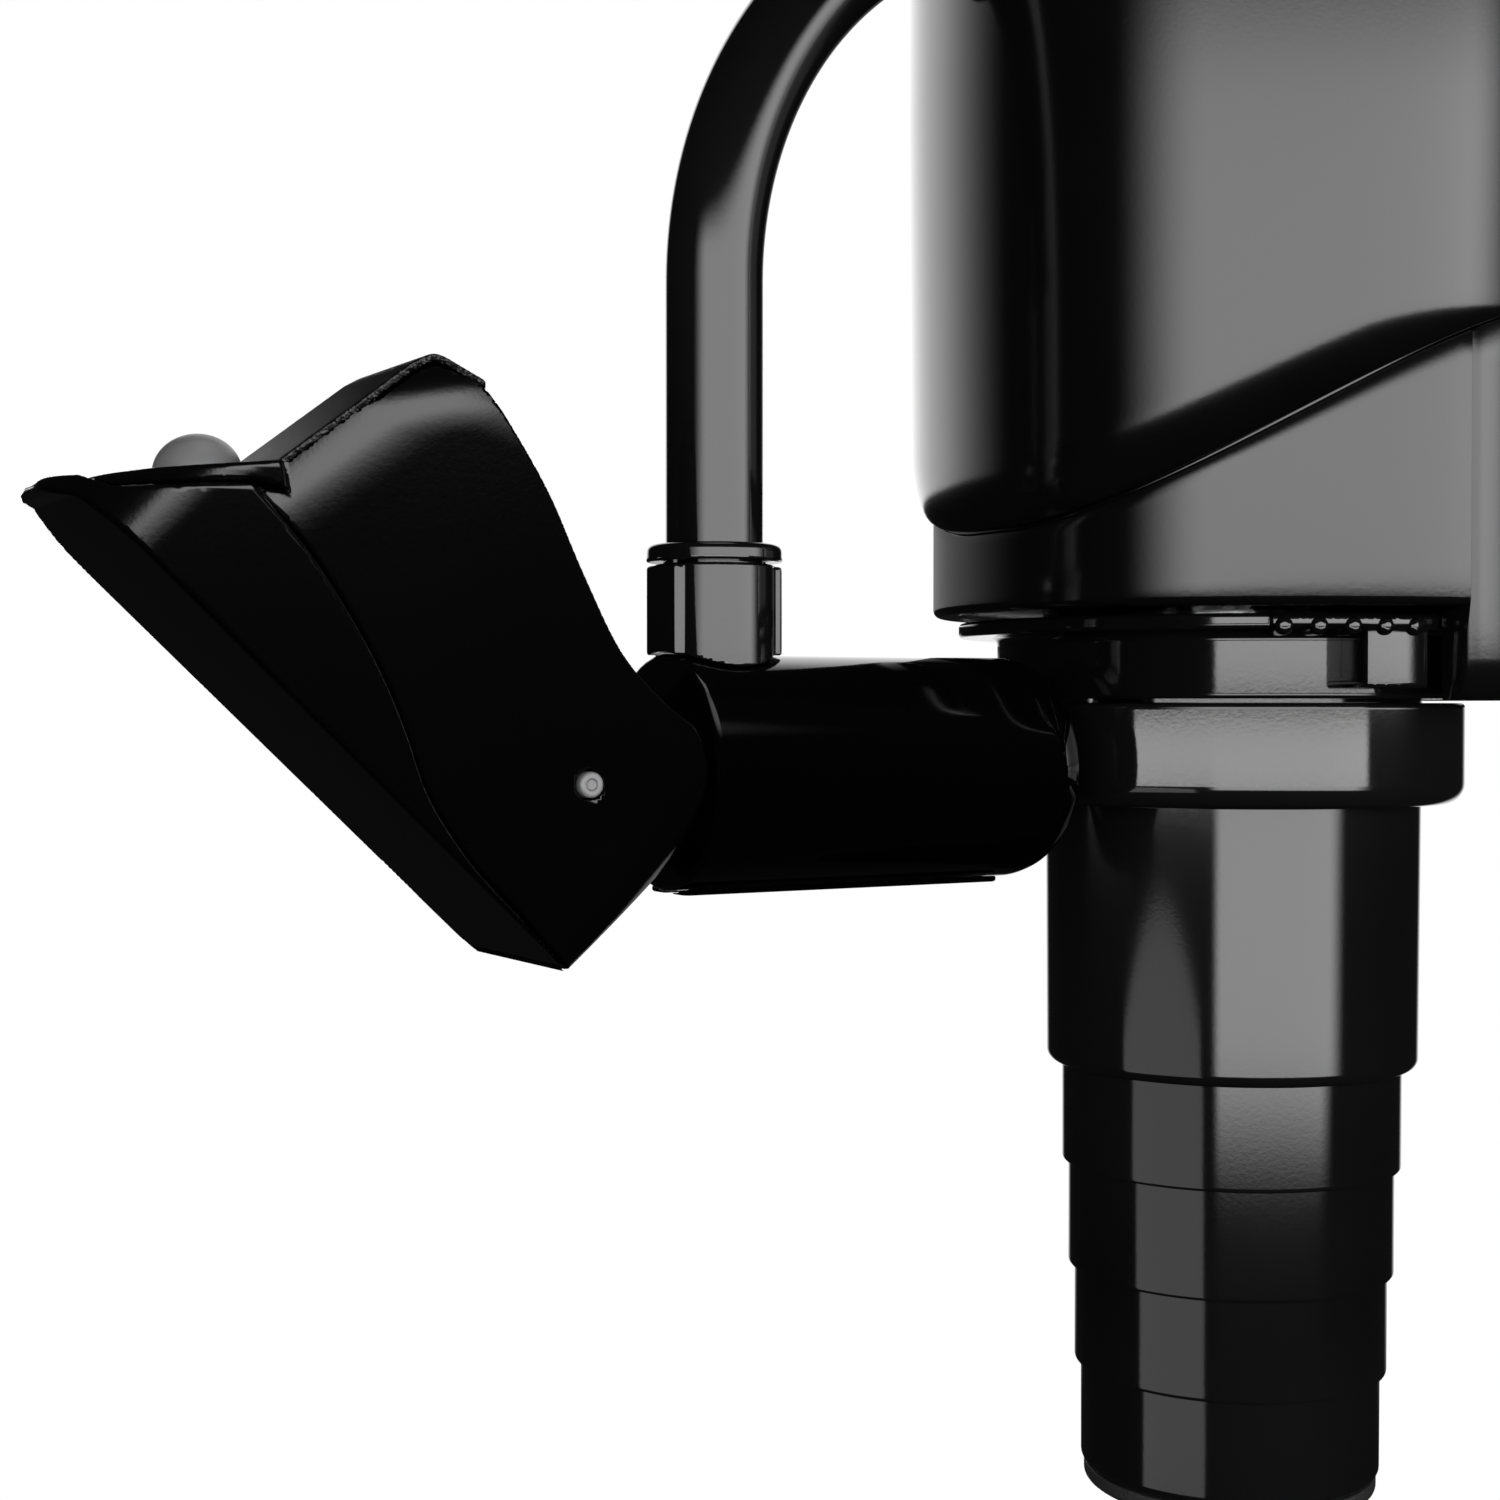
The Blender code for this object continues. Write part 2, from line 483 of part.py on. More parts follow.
def make_arm():
    """Round arm with a blunt nose against the ring, the rim pad under it and the hinge knuckle."""
    middle = (ARM_TIP + ARM_NOSE) / 2
    arm = rod("arm", (ARM_TIP, 0, ARM_Z), (ARM_NOSE, 0, ARM_Z), ARM_R, "gloss", 40)
    weight_nose(arm, (ARM_NOSE - middle) * MM)
    relief = solid_turned("nose_relief", [
        (0, 60), (NECK_R + 0.4, 60), (NECK_R + 0.4, RING_HIGH + GAP), (RING_R + GAP, RING_HIGH + GAP),
        (RING_R + GAP, -10), (0, -10)], None, steps=64)
    combine(arm, relief)
    pad = box("rim_pad", (PAD_FROM, -PAD_HALF_WIDTH, 0), (PAD_TO, PAD_HALF_WIDTH, 6), "rubber")
    combine(pad, rod("arm_clearance", (-60, 0, ARM_Z), (60, 0, ARM_Z), ARM_R + GAP, None, 40))
    reach = PIN_X - (ARM_TIP - GAP)
    outline = [(-reach, -KNUCKLE_R), (-reach, KNUCKLE_R)] + arc((0, 0), KNUCKLE_R, 90, 270, 10)
    knuckle = plate("hinge_knuckle", outline, KNUCKLE_HALF, "gloss", (PIN_X, 0, PIN_Z), (pi / 2, 0, 0))
    combine(knuckle, rod("knuckle_bore", (PIN_X, -20, PIN_Z), (PIN_X, 20, PIN_Z), PIN_R + GAP, None, 24))
    pin = rod("hinge_pin", (PIN_X, -PIN_HALF, PIN_Z), (PIN_X, PIN_HALF, PIN_Z), PIN_R, "grey", 24)
    round_edges(pin, 0.5, 1)
    for side, name in ((-1, "friction_washer_near"), (1, "friction_washer_far")):
        near, far = side * (KNUCKLE_HALF + GAP), side * (SLOT_HALF - GAP)
        washer = rod(name, (PIN_X, near, PIN_Z), (PIN_X, far, PIN_Z), 5.0, "steel", 24)
        combine(washer, rod(name + "_bore", (PIN_X, side * 2, PIN_Z), (PIN_X, side * 12, PIN_Z), PIN_R + GAP,
                            None, 24))


def weight_nose(arm, end_z):
    """Round the arm's nose with a bevel that only its far cap's edges carry."""
    mesh = arm.data
    attribute = mesh.attributes.new("bevel_weight_edge", "FLOAT", "EDGE")
    for edge in mesh.edges:
        ends = [mesh.vertices[v].co.x for v in edge.vertices]
        attribute.data[edge.index].value = 1.0 if min(ends) > end_z - 1e-5 else 0.0
    bevel = arm.modifiers.new("nose", "BEVEL")
    bevel.width = ARM_NOSE_FILLET * MM
    bevel.segments = 5
    bevel.limit_method = "WEIGHT"


def make_handle():
    """Bent tube from a socket on the arm to a boss on the housing."""
    bend_x = HANDLE_X + TUBE_BEND_R
    path = [(HANDLE_X, 0, TUBE_FOOT), (HANDLE_X, 0, 60), (HANDLE_X, 0, TUBE_BEND_Z - 3)]
    for i in range(15):
        turn = radians(TUBE_BEND_DEG * i / 14)
        path.append((bend_x - TUBE_BEND_R * cos(turn), 0, TUBE_BEND_Z + TUBE_BEND_R * sin(turn)))
    tube("handle_tube", path, TUBE_R, "gloss", 6)

    end, heading = Vector(path[-1]), radians(90 - TUBE_BEND_DEG)
    along = Vector((cos(heading), 0, sin(heading)))
    boss = rod("handle_boss", end - along * 5.0, end + along * 14.0, 9.4, "gloss", 36)
    round_edges(boss, 1.2)
    combine(boss, as_mesh(tube("boss_bore", path, TUBE_R + GAP, None, 6)))
    combine(boss, rod("wall_clearance", (COLUMN_X, 0, 90), (COLUMN_X, 0, 200), HOUSING_TOP_R + 0.4, None, 96))

    socket_low = 24.0
    socket = turned("handle_socket", [
        (SOCKET_R, NUT_LOW - GAP), (SOCKET_R, socket_low), (4.0, socket_low), (4.0, TUBE_FOOT - GAP),
        (TUBE_R + GAP, TUBE_FOOT - GAP), (TUBE_R + GAP, NUT_LOW - GAP)], "gloss", (HANDLE_X, 0, 0), 28)
    for side in (-1, 1):
        x_inner, x_outer = side * (TUBE_R + 0.9), side * SOCKET_LUG_R
        low_x, high_x = HANDLE_X + min(x_inner, x_outer), HANDLE_X + max(x_inner, x_outer)
        lug = box(f"socket_lug_{side + 1}", (low_x, -4.0, 31.0), (high_x, 4.0, NUT_LOW - 0.5), None)
        combine(socket, lug, "UNION")
    combine(socket, rod("saddle", (-70, 0, ARM_Z), (40, 0, ARM_Z), ARM_R + GAP, None, 40))
    turned("handle_nut", [
        (NUT_R - 0.8, NUT_HIGH), (NUT_R, NUT_HIGH - 0.8), (NUT_R, NUT_LOW), (TUBE_R + GAP, NUT_LOW),
        (TUBE_R + GAP, NUT_HIGH)], "gloss", (HANDLE_X, 0, 0), 28)


def parting_line(shift):
    """The joint between the lever's shells: level under the nose deck, then an S down to the tail."""
    line = [(42.0, 34.7), (35.2, 26.9), (30.0, 19.2), (26.4, 12.6), (23.7, 6.3), (20.9, -1.2),
            (15.6, -9.0), (8.7, -16.3), (2.6, -22.9)]
    joint = [(56.9, 33.9), (49.5, 34.3)] + smooth_through(line, 3)
    return [(reach + shift, rise - shift) for reach, rise in joint]


def lever_plate(name, outline, finish):
    """Extrude a side outline across the lever's width; reach runs towards -X."""
    flipped = [(-reach, rise) for reach, rise in reversed(outline)]
    return plate(name, flipped, LEVER_HALF_WIDTH + 1, finish, (PIN_X, 0, PIN_Z), (pi / 2, 0, 0))


def plan_block(name, first, last, half_width, tail_r, nose_r):
    """The lever's outline seen square to its sole, as a tall block to intersect with."""
    outline = (arc((first + tail_r, half_width - tail_r), tail_r, 180, 90, 6)
               + arc((last - nose_r, half_width - nose_r), nose_r, 90, 0, 6)
               + arc((last - nose_r, -half_width + nose_r), nose_r, 0, -90, 6)
               + arc((first + tail_r, -half_width + tail_r), tail_r, -90, -180, 6))
    sole = atan2(SOLE_END[1] - TAIL[1], SOLE_END[0] - TAIL[0])
    return plate(name, list(reversed(outline)), 90.0, None, (PIN_X, 0, PIN_Z), (0, -sole, pi))


def front_block():
    """Draws the lever's side walls in towards its slanted front on a wide curve."""
    slant = atan2(FRONT_TOP[1] - FRONT_FOOT[1], FRONT_FOOT[0] - FRONT_TOP[0])
    face = FRONT_FOOT[0] * sin(slant) + FRONT_FOOT[1] * cos(slant)
    half, spread = LEVER_HALF_WIDTH - 0.8, degrees(asin(CHEEK_DEPTH / CHEEK_R))
    start = CHEEK_DEPTH - face
    outline = (arc((start, CHEEK_R - half), CHEEK_R, 270, 270 - spread, 5)
               + arc((start, half - CHEEK_R), CHEEK_R, 90 + spread, 90, 5) + [(60.0, half), (60.0, -half)])
    return plate("front_round", outline, 90.0, None, (PIN_X, 0, PIN_Z), (0, pi / 2 - slant, 0))


def make_lever():
    """Clamp lever: a lower tub with the sole, and an upper shell that turns on the pin."""
    nose_lip = [(60.0, 35.2), (63.0, 35.3), NOSE, (62.6, 33.1)]
    lower_outline = parting_line(GAP / 2)[::-1] + nose_lip + [SOLE_END, TAIL]
    lower = lever_plate("lever_lower_shell", lower_outline, "gloss")
    combine(lower, plan_block("lower_plan", -17.2, 69.6, LEVER_HALF_WIDTH, 8.0, 13.0), "INTERSECT")

    crown = smooth_through([FRONT_TOP, (18.9, 51.3), (15.6, 50.1), (12.6, 46.6)], 2)
    back = smooth_through([(12.6, 46.6), (5.7, 36.0), (0.5, 25.3), (-4.4, 16.3), (-9.8, 10.6),
                           (-15.2, 6.7)], 2)
    heel = arc((0, 0), HEEL_R, 162, 225, 7)
    body_outline = parting_line(-GAP / 2)[:1:-1] + [FRONT_FOOT] + crown + back[1:-1] + heel
    upper = lever_plate("lever_upper_shell", body_outline, "gloss")
    combine(upper, front_block(), "INTERSECT")
    deck_outline = [(36.5, 33.5), (38.3, 37.5), DECK, (52.0, 36.2), (59.4, 35.3)] + parting_line(-GAP / 2)[:3]
    combine(upper, lever_plate("deck_cap", deck_outline[::-1], None), "UNION")
    combine(upper, plan_block("upper_plan", -17.2, 66.4, LEVER_HALF_WIDTH - 0.8, 7.5, 12.2), "INTERSECT")
    combine(upper, knuckle_slot())
    combine(upper, rod("lever_bore", (PIN_X, -30, PIN_Z), (PIN_X, 30, PIN_Z), PIN_R + GAP, None, 20))
    make_front_inlay(upper)
    make_release_button(upper, lower)


def knuckle_slot():
    """Room for the knuckle, from straight ahead of the pin to where it lies with the lever swung down."""
    swing, run = radians(LEVER_SWING), 30.0
    way_out = (SLOT_R * cos(swing) - run * sin(swing), -SLOT_R * sin(swing) - run * cos(swing))
    outline = arc((0, 0), SLOT_R, 90, -LEVER_SWING, 8) + [way_out, (-run, way_out[1]), (-run, SLOT_R)]
    flipped = [(-reach, rise) for reach, rise in outline]
    return plate("knuckle_slot", flipped, SLOT_HALF, None, (PIN_X, 0, PIN_Z), (pi / 2, 0, 0))


def make_front_inlay(upper):
    """A grip strip let into the lever's slanted front."""
    slant = atan2(FRONT_TOP[1] - FRONT_FOOT[1], FRONT_FOOT[0] - FRONT_TOP[0])
    middle = ((FRONT_FOOT[0] + FRONT_TOP[0]) / 2 + 0.4, (FRONT_FOOT[1] + FRONT_TOP[1]) / 2 - 0.3)
    place = (PIN_X - middle[0], 0, PIN_Z + middle[1])

    def strip(name, half_length, half_width, half_height, finish):
        half = Vector((half_length, half_width, half_height))
        made = box(name, -half, half, finish)
        made.location = Vector(place) * MM
        made.rotation_euler = (0, -slant, 0)
        return made

    inlay = strip("lever_front_inlay", 8.2, INLAY_HALF, 0.7, "matte")
    inlay.location += Vector((sin(slant), 0, -cos(slant))) * 0.3 * MM
    combine(upper, strip("inlay_recess", 8.5, INLAY_HALF + GAP, 1.4, None))


def make_release_button(upper, lower):
    """Domed button in the nose deck with its spring pad, both in a well through the two shells."""
    slope = atan2(DECK[1] - NOSE[1], NOSE[0] - DECK[0])
    up = Vector((-sin(slope), 0, cos(slope)))
    foot = Vector((PIN_X - BUTTON_REACH, 0, PIN_Z + DECK[1] - (BUTTON_REACH - DECK[0]) * sin(slope)))
    for number, shell in enumerate((upper, lower)):
        well = rod(f"button_well_{number}", foot - up * 9.0, foot + up * 8, BUTTON_R + GAP, None, 28)
        combine(shell, well)
    profiles = {
        "release_button": [(0, 4.6), (2.0, 4.3), (3.8, 3.2), (4.9, 1.6), (BUTTON_R, 0), (BUTTON_R, -4.5),
                           (0, -4.5)],
        "release_spring_pad": [(0, -6.9), (3.0, -6.9), (4.4, -8.7), (0, -8.7)]}
    for name, profile in profiles.items():
        made = solid_turned(name, profile, "grey" if name == "release_button" else "rubber", tuple(foot), 24)
        made.rotation_euler = (0, -slope, 0)


def make_gland():
    """Cord gland at the back of the head, with an empty blind bore for the lead."""
    start, end, z = COLUMN_X + HOUSING_R + 0.9, COLUMN_X + HOUSING_R + 19.0, 104.0
    gland = turned("cord_gland", [
        (4.6, end - start), (6.0, end - start - 1.0), (8.6, 4.0), (8.6, 0), (3.0, 0), (3.0, 2.0),
        (3.5, 2.0), (3.5, end - start)], "rubber", (start, 0, z), 20)
    gland.rotation_euler = (0, pi / 2, 0)


def build():
    start_scene()
    make_housings()
    make_control_top()
    make_drive()
    make_wet_end()
    make_skirt()
    make_clamp_ring()
    make_lock_ring()
    make_arm()
    make_handle()
    make_lever()
    make_gland()
    bpy.context.view_layer.update()


build()
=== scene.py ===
"""Looks of the pot-clamped circulator: black moulded housings, telescoping skirt, arm, handle and lever."""

import json
from math import acos, atan2, cos, degrees, hypot, pi, radians, sin, sqrt, tan

import bmesh
import bpy
import numpy as np
from mathutils import Matrix, Vector

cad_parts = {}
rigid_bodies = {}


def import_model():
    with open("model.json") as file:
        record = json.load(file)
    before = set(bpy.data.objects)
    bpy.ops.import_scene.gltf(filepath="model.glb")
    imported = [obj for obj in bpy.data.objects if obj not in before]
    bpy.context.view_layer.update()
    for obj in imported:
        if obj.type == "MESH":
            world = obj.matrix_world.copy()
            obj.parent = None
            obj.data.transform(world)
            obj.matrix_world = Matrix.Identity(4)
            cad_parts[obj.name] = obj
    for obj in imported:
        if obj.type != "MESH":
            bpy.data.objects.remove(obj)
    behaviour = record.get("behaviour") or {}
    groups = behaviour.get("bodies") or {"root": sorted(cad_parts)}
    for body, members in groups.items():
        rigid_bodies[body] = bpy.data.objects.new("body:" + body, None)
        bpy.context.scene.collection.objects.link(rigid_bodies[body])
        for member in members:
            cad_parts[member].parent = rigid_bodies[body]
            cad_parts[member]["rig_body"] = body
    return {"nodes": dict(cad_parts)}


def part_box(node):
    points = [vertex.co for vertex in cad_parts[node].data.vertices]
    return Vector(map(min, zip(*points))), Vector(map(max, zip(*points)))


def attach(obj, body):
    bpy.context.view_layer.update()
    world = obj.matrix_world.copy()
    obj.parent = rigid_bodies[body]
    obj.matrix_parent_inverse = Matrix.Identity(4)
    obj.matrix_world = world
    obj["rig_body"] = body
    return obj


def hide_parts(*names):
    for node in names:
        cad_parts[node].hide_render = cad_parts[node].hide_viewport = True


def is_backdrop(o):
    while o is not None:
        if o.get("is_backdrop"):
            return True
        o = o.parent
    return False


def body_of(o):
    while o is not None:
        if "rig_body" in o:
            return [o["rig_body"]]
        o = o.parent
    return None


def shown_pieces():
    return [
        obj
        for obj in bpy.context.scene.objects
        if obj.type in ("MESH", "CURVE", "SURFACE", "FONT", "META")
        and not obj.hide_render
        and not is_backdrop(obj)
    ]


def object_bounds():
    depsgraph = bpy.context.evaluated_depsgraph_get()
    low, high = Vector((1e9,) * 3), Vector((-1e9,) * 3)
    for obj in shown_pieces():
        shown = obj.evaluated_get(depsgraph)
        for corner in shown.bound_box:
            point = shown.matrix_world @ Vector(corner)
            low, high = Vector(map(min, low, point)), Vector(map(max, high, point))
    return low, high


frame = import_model()
cad_low, cad_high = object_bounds()

# ---------------------------------------------------------------------------------------------------------
# Studio. The camera stands low in front of the arm, left of the column. Soft glowing cards stand 1.2 m out,
# each a little further than the last, and shine through each other; turns from the camera's heading and
# heights place them, in degrees. The floor is a wide pale disc just under the rubber foot.
# ---------------------------------------------------------------------------------------------------------
MM = 0.001
COLUMN_X = (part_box("clamp_ring")[0].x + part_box("clamp_ring")[1].x) / 2 / MM

camera = bpy.data.objects.new("camera", bpy.data.cameras.new("camera"))
bpy.context.scene.collection.objects.link(camera)
camera.location = (-0.172, -0.2661, 0.0246)
camera.rotation_euler = (radians(88.9), 0.0, radians(-30.0))
camera.data.lens = 55.2
camera.data.clip_start = 0.01
bpy.context.scene.camera = camera
bpy.context.scene.view_settings.view_transform = "Standard"


class Wire:
    """A shader socket that can be used in sums; each sign adds its Math node."""

    def __init__(self, shader, socket):
        self.shader, self.socket = shader, socket

    def sum(self, operation, first, second):
        return self.shader.node("ShaderNodeMath", {"operation": operation}, {0: first, 1: second})

    def __add__(self, other):
        return self.sum("ADD", self, other)

    def __radd__(self, other):
        return self.sum("ADD", other, self)

    def __sub__(self, other):
        return self.sum("SUBTRACT", self, other)

    def __rsub__(self, other):
        return self.sum("SUBTRACT", other, self)

    def __mul__(self, other):
        return self.sum("MULTIPLY", self, other)

    def __rmul__(self, other):
        return self.sum("MULTIPLY", other, self)

    def __truediv__(self, other):
        return self.sum("DIVIDE", self, other)


class Shader:
    """The node tree of one finish."""

    def __init__(self, name):
        self.material = bpy.data.materials.new(name)
        self.material.use_nodes = True
        self.tree = self.material.node_tree
        self.tree.nodes.clear()

    def node(self, kind, settings=None, values=None, output=0):
        made = self.tree.nodes.new(kind)
        for key, value in (settings or {}).items():
            if key == "stops":
                while len(made.color_ramp.elements) < len(value):
                    made.color_ramp.elements.new(0.5)
                for element, (place, colour) in zip(made.color_ramp.elements, value):
                    element.position = place
                    element.color = colour
            else:
                setattr(made, key, value)
        for key, value in (values or {}).items():
            if isinstance(value, Wire):
                self.tree.links.new(value.socket, made.inputs[key])
            else:
                made.inputs[key].default_value = value
        return Wire(self, made.outputs[output] if made.outputs else None)

    def rise(self, value, start, end):
        """0 before start and 1 after end, eased in between."""
        return self.node("ShaderNodeMapRange", {"interpolation_type": "SMOOTHSTEP"},
                         {"Value": value, "From Min": start, "From Max": end})


CARD_DISTANCE, CARD_STEP = 1.2, 0.004
CAMERA_TURN = -120.0
cards = {}


def card(name, turns, heights, radiance, soft, shape=None, lights=("rest",)):
    """A curved glowing gauze between two turns and two heights, with soft edges (left, right, low, high)."""
    columns, rows = 40, 16
    distance = CARD_DISTANCE + CARD_STEP * len(cards)
    points, marks, faces = [], [], []
    for i in range(columns + 1):
        for j in range(rows + 1):
            turn = turns[0] + (turns[1] - turns[0]) * i / columns
            height = heights[0] + (heights[1] - heights[0]) * j / rows
            a, e = radians(CAMERA_TURN + turn), radians(height)
            points.append((COLUMN_X * MM + distance * cos(e) * cos(a), distance * cos(e) * sin(a),
                           camera.location.z + distance * sin(e)))
            marks.append((turn, height))
    for i in range(columns):
        for j in range(rows):
            k = i * (rows + 1) + j
            faces.append((k, k + 1, k + rows + 2, k + rows + 1))
    mesh = bpy.data.meshes.new(name)
    mesh.from_pydata(points, [], faces)
    uv = mesh.uv_layers.new(name="degrees")
    for loop in mesh.loops:
        uv.data[loop.index].uv = marks[loop.vertex_index]
    shader = Shader(name)
    spot = shader.node("ShaderNodeUVMap", {"uv_map": "degrees"})
    turn = shader.node("ShaderNodeSeparateXYZ", None, {0: spot}, 0)
    height = shader.node("ShaderNodeSeparateXYZ", None, {0: spot}, 1)
    left, right, low, high = soft
    mask = (shader.rise(turn, turns[0], turns[0] + left) * shader.rise(turn, turns[1], turns[1] - right)
            * shader.rise(height, heights[0], heights[0] + low)
            * shader.rise(height, heights[1], heights[1] - high))
    if shape:
        mask = mask * shape(shader, turn, height)
    glow = shader.node("ShaderNodeEmission", None, {"Strength": mask * radiance})
    clear = shader.node("ShaderNodeBsdfTransparent")
    both = shader.node("ShaderNodeAddShader", None, {0: glow, 1: clear})
    shader.node("ShaderNodeOutputMaterial", None, {"Surface": both})
    mesh.materials.append(shader.material)
    made = bpy.data.objects.new(name, mesh)
    bpy.context.scene.collection.objects.link(made)
    made.visible_camera = False
    made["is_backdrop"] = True
    cards[name] = (made, lights)


ARCH_MIDDLE, ARCH_HALF, ARCH_SPRING, ARCH_RISE = -54.0, 26.0, -10.6, 4.2


def arch(shader, turn, height):
    """A window with a pointed arch, at its full width below its springing line."""
    across = (turn - ARCH_MIDDLE) / ARCH_HALF
    up = shader.node("ShaderNodeMath", {"operation": "MAXIMUM"},
                     {0: (height - ARCH_SPRING) / ARCH_RISE, 1: 0.0})
    return shader.rise(1.0 - across * across - up, 0.0, 0.16)


card("card_key_low", (-23, 60), (-15.5, -2.95), 6.0, (6, 12, 4.5, 0.3), None, ("rest", "ring"))
card("card_key_ring", (-108, 58), (-2.95, -0.1), 7.5, (2, 3, 0.15, 0.15), None, ("rest",))
card("card_key_high", (-50, 92), (0.3, 25), 5.0, (30, 24, 0.6, 9), None, ("rest", "housing", "collar"))
card("card_key_neck", (-20, 62), (0.1, 14), 6.5, (2, 4, 0.2, 6), None, ("ring",))
card("card_key_arm", (-50, 68), (30, 84), 1.4, (30, 14, 18, 20), None, ("arm",))
card("card_side_window", (-84, -16), (-26, -5.8), 1.3, (1, 1, 2, 0.2), arch)
card("card_left_rim", (-225, -92), (0.5, 30), 2.3, (75, 40, 1, 6), None, ("housing",))
card("card_left_collar", (-225, -94), (0.5, 30), 0.4, (75, 40, 1, 6), None, ("collar",))
card("card_back_wall", (140, 220), (3, 60), 1.6, (12, 12, 2, 25), None, ("rest", "arm", "ring"))
card("card_back_low", (143, 193), (-22, 2), 1.0, (12, 12, 8, 1), None, ("rest", "arm", "ring"))
card("card_top", (-180, 180), (72, 90), 1.6, (0.1, 0.1, 8, 0.1), None,
     ("rest", "housing", "collar", "arm", "ring"))
card("card_lever_front", (6, 62), (8, 60), 4.0, (10, 15, 24, 12), None, ("lever",))
card("card_lever_nose", (190, 230), (0, 16), 4.0, (8, 12, 1, 4), None, ("lever",))
card("card_lever_crest", (176, 206), (8, 14), 4.0, (4, 6, 2, 2), None, ("lever",))
card("card_lever_right", (98, 142), (2, 45), 1.8, (10, 10, 4, 12), None, ("lever",))
card("card_lever_heel", (115, 175), (-38, -4), 0.4, (12, 12, 8, 4), None, ("lever",))

floor_shader = Shader("pale_floor")
fleck = floor_shader.node("ShaderNodeTexNoise", None, {"Scale": 90.0, "Detail": 3.0})
floor_tone = floor_shader.node("ShaderNodeValToRGB", {"stops": [(0.3, (0.985, 0.985, 0.985, 1)),
                                                                (0.7, (1.0, 1.0, 1.0, 1))]}, {0: fleck})
floor_glow = floor_shader.node("ShaderNodeEmission", None, {"Color": floor_tone, "Strength": 1.02})
floor_shader.node("ShaderNodeOutputMaterial", None, {"Surface": floor_glow})
floor_mesh = bpy.data.meshes.new("studio_floor")
net = bmesh.new()
bmesh.ops.create_circle(net, cap_ends=True, segments=96, radius=3.0,
                        matrix=Matrix.Translation((0.0, 0.0, cad_low.z - 0.0004)))
net.to_mesh(floor_mesh)
net.free()
floor_mesh.materials.append(floor_shader.material)
studio_floor = bpy.data.objects.new("studio_floor", floor_mesh)
bpy.context.scene.collection.objects.link(studio_floor)
studio_floor.visible_glossy = False
studio_floor.visible_diffuse = False
studio_floor.visible_shadow = False
studio_floor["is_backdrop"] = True

world = bpy.data.worlds.new("studio_air")
bpy.context.scene.world = world
world.use_nodes = True
air = Shader("air")
air.tree = world.node_tree
air.tree.nodes.clear()
seen = air.node("ShaderNodeLightPath")
air_glow = air.node("ShaderNodeBackground", None, {"Color": (1, 1, 1, 1), "Strength": seen * 0.99 + 0.01})
air.node("ShaderNodeOutputWorld", None, {"Surface": air_glow})

# ---------------------------------------------------------------------------------------------------------
# Upper housing: one black moulding with a rounded shoulder, a lower edge that rolls in to a seam and sweeps
# up towards the back, six cooling slots behind and a ledge for the control panel. It drops on the collar.
# ---------------------------------------------------------------------------------------------------------
GAP = 0.3
COLLAR_R, COLLAR_BACK_R = 45.1, 48.3
HOUSING_R, HOUSING_TOP_R, HOUSING_INNER_R = 48.6, 49.2, 45.4
SEAM_LOW, SEAM_RISE = 49.6, 31.0
HOUSING_TOP, SHOULDER_R = 176.0, 7.7
PANEL_LOW, PANEL_HIGH, PANEL_R = 172.5, 175.7, 37.7
VENT_COUNT, VENT_LOW, VENT_PITCH, VENT_HEIGHT = 6, 116.0, 5.0, 2.2
WALL_FOOT, WALL_HEAD, ROLL_FRONT, ROLL_BACK, GLAND_Z, ROUND_STEPS = 60.0, 111.0, 10.0, 1.2, 104.0, 240


def moulded(name, grey=0.006, rough=0.17, grain=0.03, tint=(1.0, 1.0, 1.02), scale=1600.0):
    """Black moulded plastic: a fine tooled grain, faint cloudiness and softly uneven gloss."""
    shader = Shader(name)
    spot = shader.node("ShaderNodeTexCoord", None, None, 3)
    cloud = shader.node("ShaderNodeTexNoise", None, {"Vector": spot, "Scale": 22.0, "Detail": 3.0})
    speck = shader.node("ShaderNodeTexNoise", None, {"Vector": spot, "Scale": scale, "Detail": 2.0,
                                                     "Roughness": 0.6})
    wave = shader.node("ShaderNodeTexNoise", None, {"Vector": spot, "Scale": 130.0, "Detail": 2.0})
    dark = [grey * 0.75 * t for t in tint] + [1.0]
    light = [grey * 1.3 * t for t in tint] + [1.0]
    colour = shader.node("ShaderNodeValToRGB", {"stops": [(0.3, dark), (0.7, light)]}, {0: cloud})
    bump = shader.node("ShaderNodeBump", None, {"Height": speck + wave * 0.08, "Strength": grain,
                                                "Distance": 0.0004})
    skin = shader.node("ShaderNodeBsdfPrincipled", None, {
        "Base Color": colour, "Roughness": rough - 0.02 + cloud * 0.03 + speck * 0.02, "Normal": bump})
    shader.node("ShaderNodeOutputMaterial", None, {"Surface": skin})
    return shader.material


def smoothstep(value):
    value = min(1.0, max(0.0, value))
    return value * value * (3 - 2 * value)


def from_arm(turn):
    """Degrees round the column from the arm's direction, 0 at the arm and 180 at the back."""
    return abs((degrees(turn) % 360.0) - 180.0)


def seam_height(turn):
    return SEAM_LOW + SEAM_RISE * smoothstep((from_arm(turn) - 5.0) / 115.0)


def collar_radius(turn):
    return COLLAR_R + (COLLAR_BACK_R - COLLAR_R) * smoothstep((from_arm(turn) - 60.0) / 50.0)


def bow(centre, radius, start, end, count):
    """Points on an arc between two angles in degrees, both ends included."""
    turns = [radians(start + (end - start) * i / count) for i in range(count + 1)]
    return [(centre[0] + radius * cos(a), centre[1] + radius * sin(a)) for a in turns]


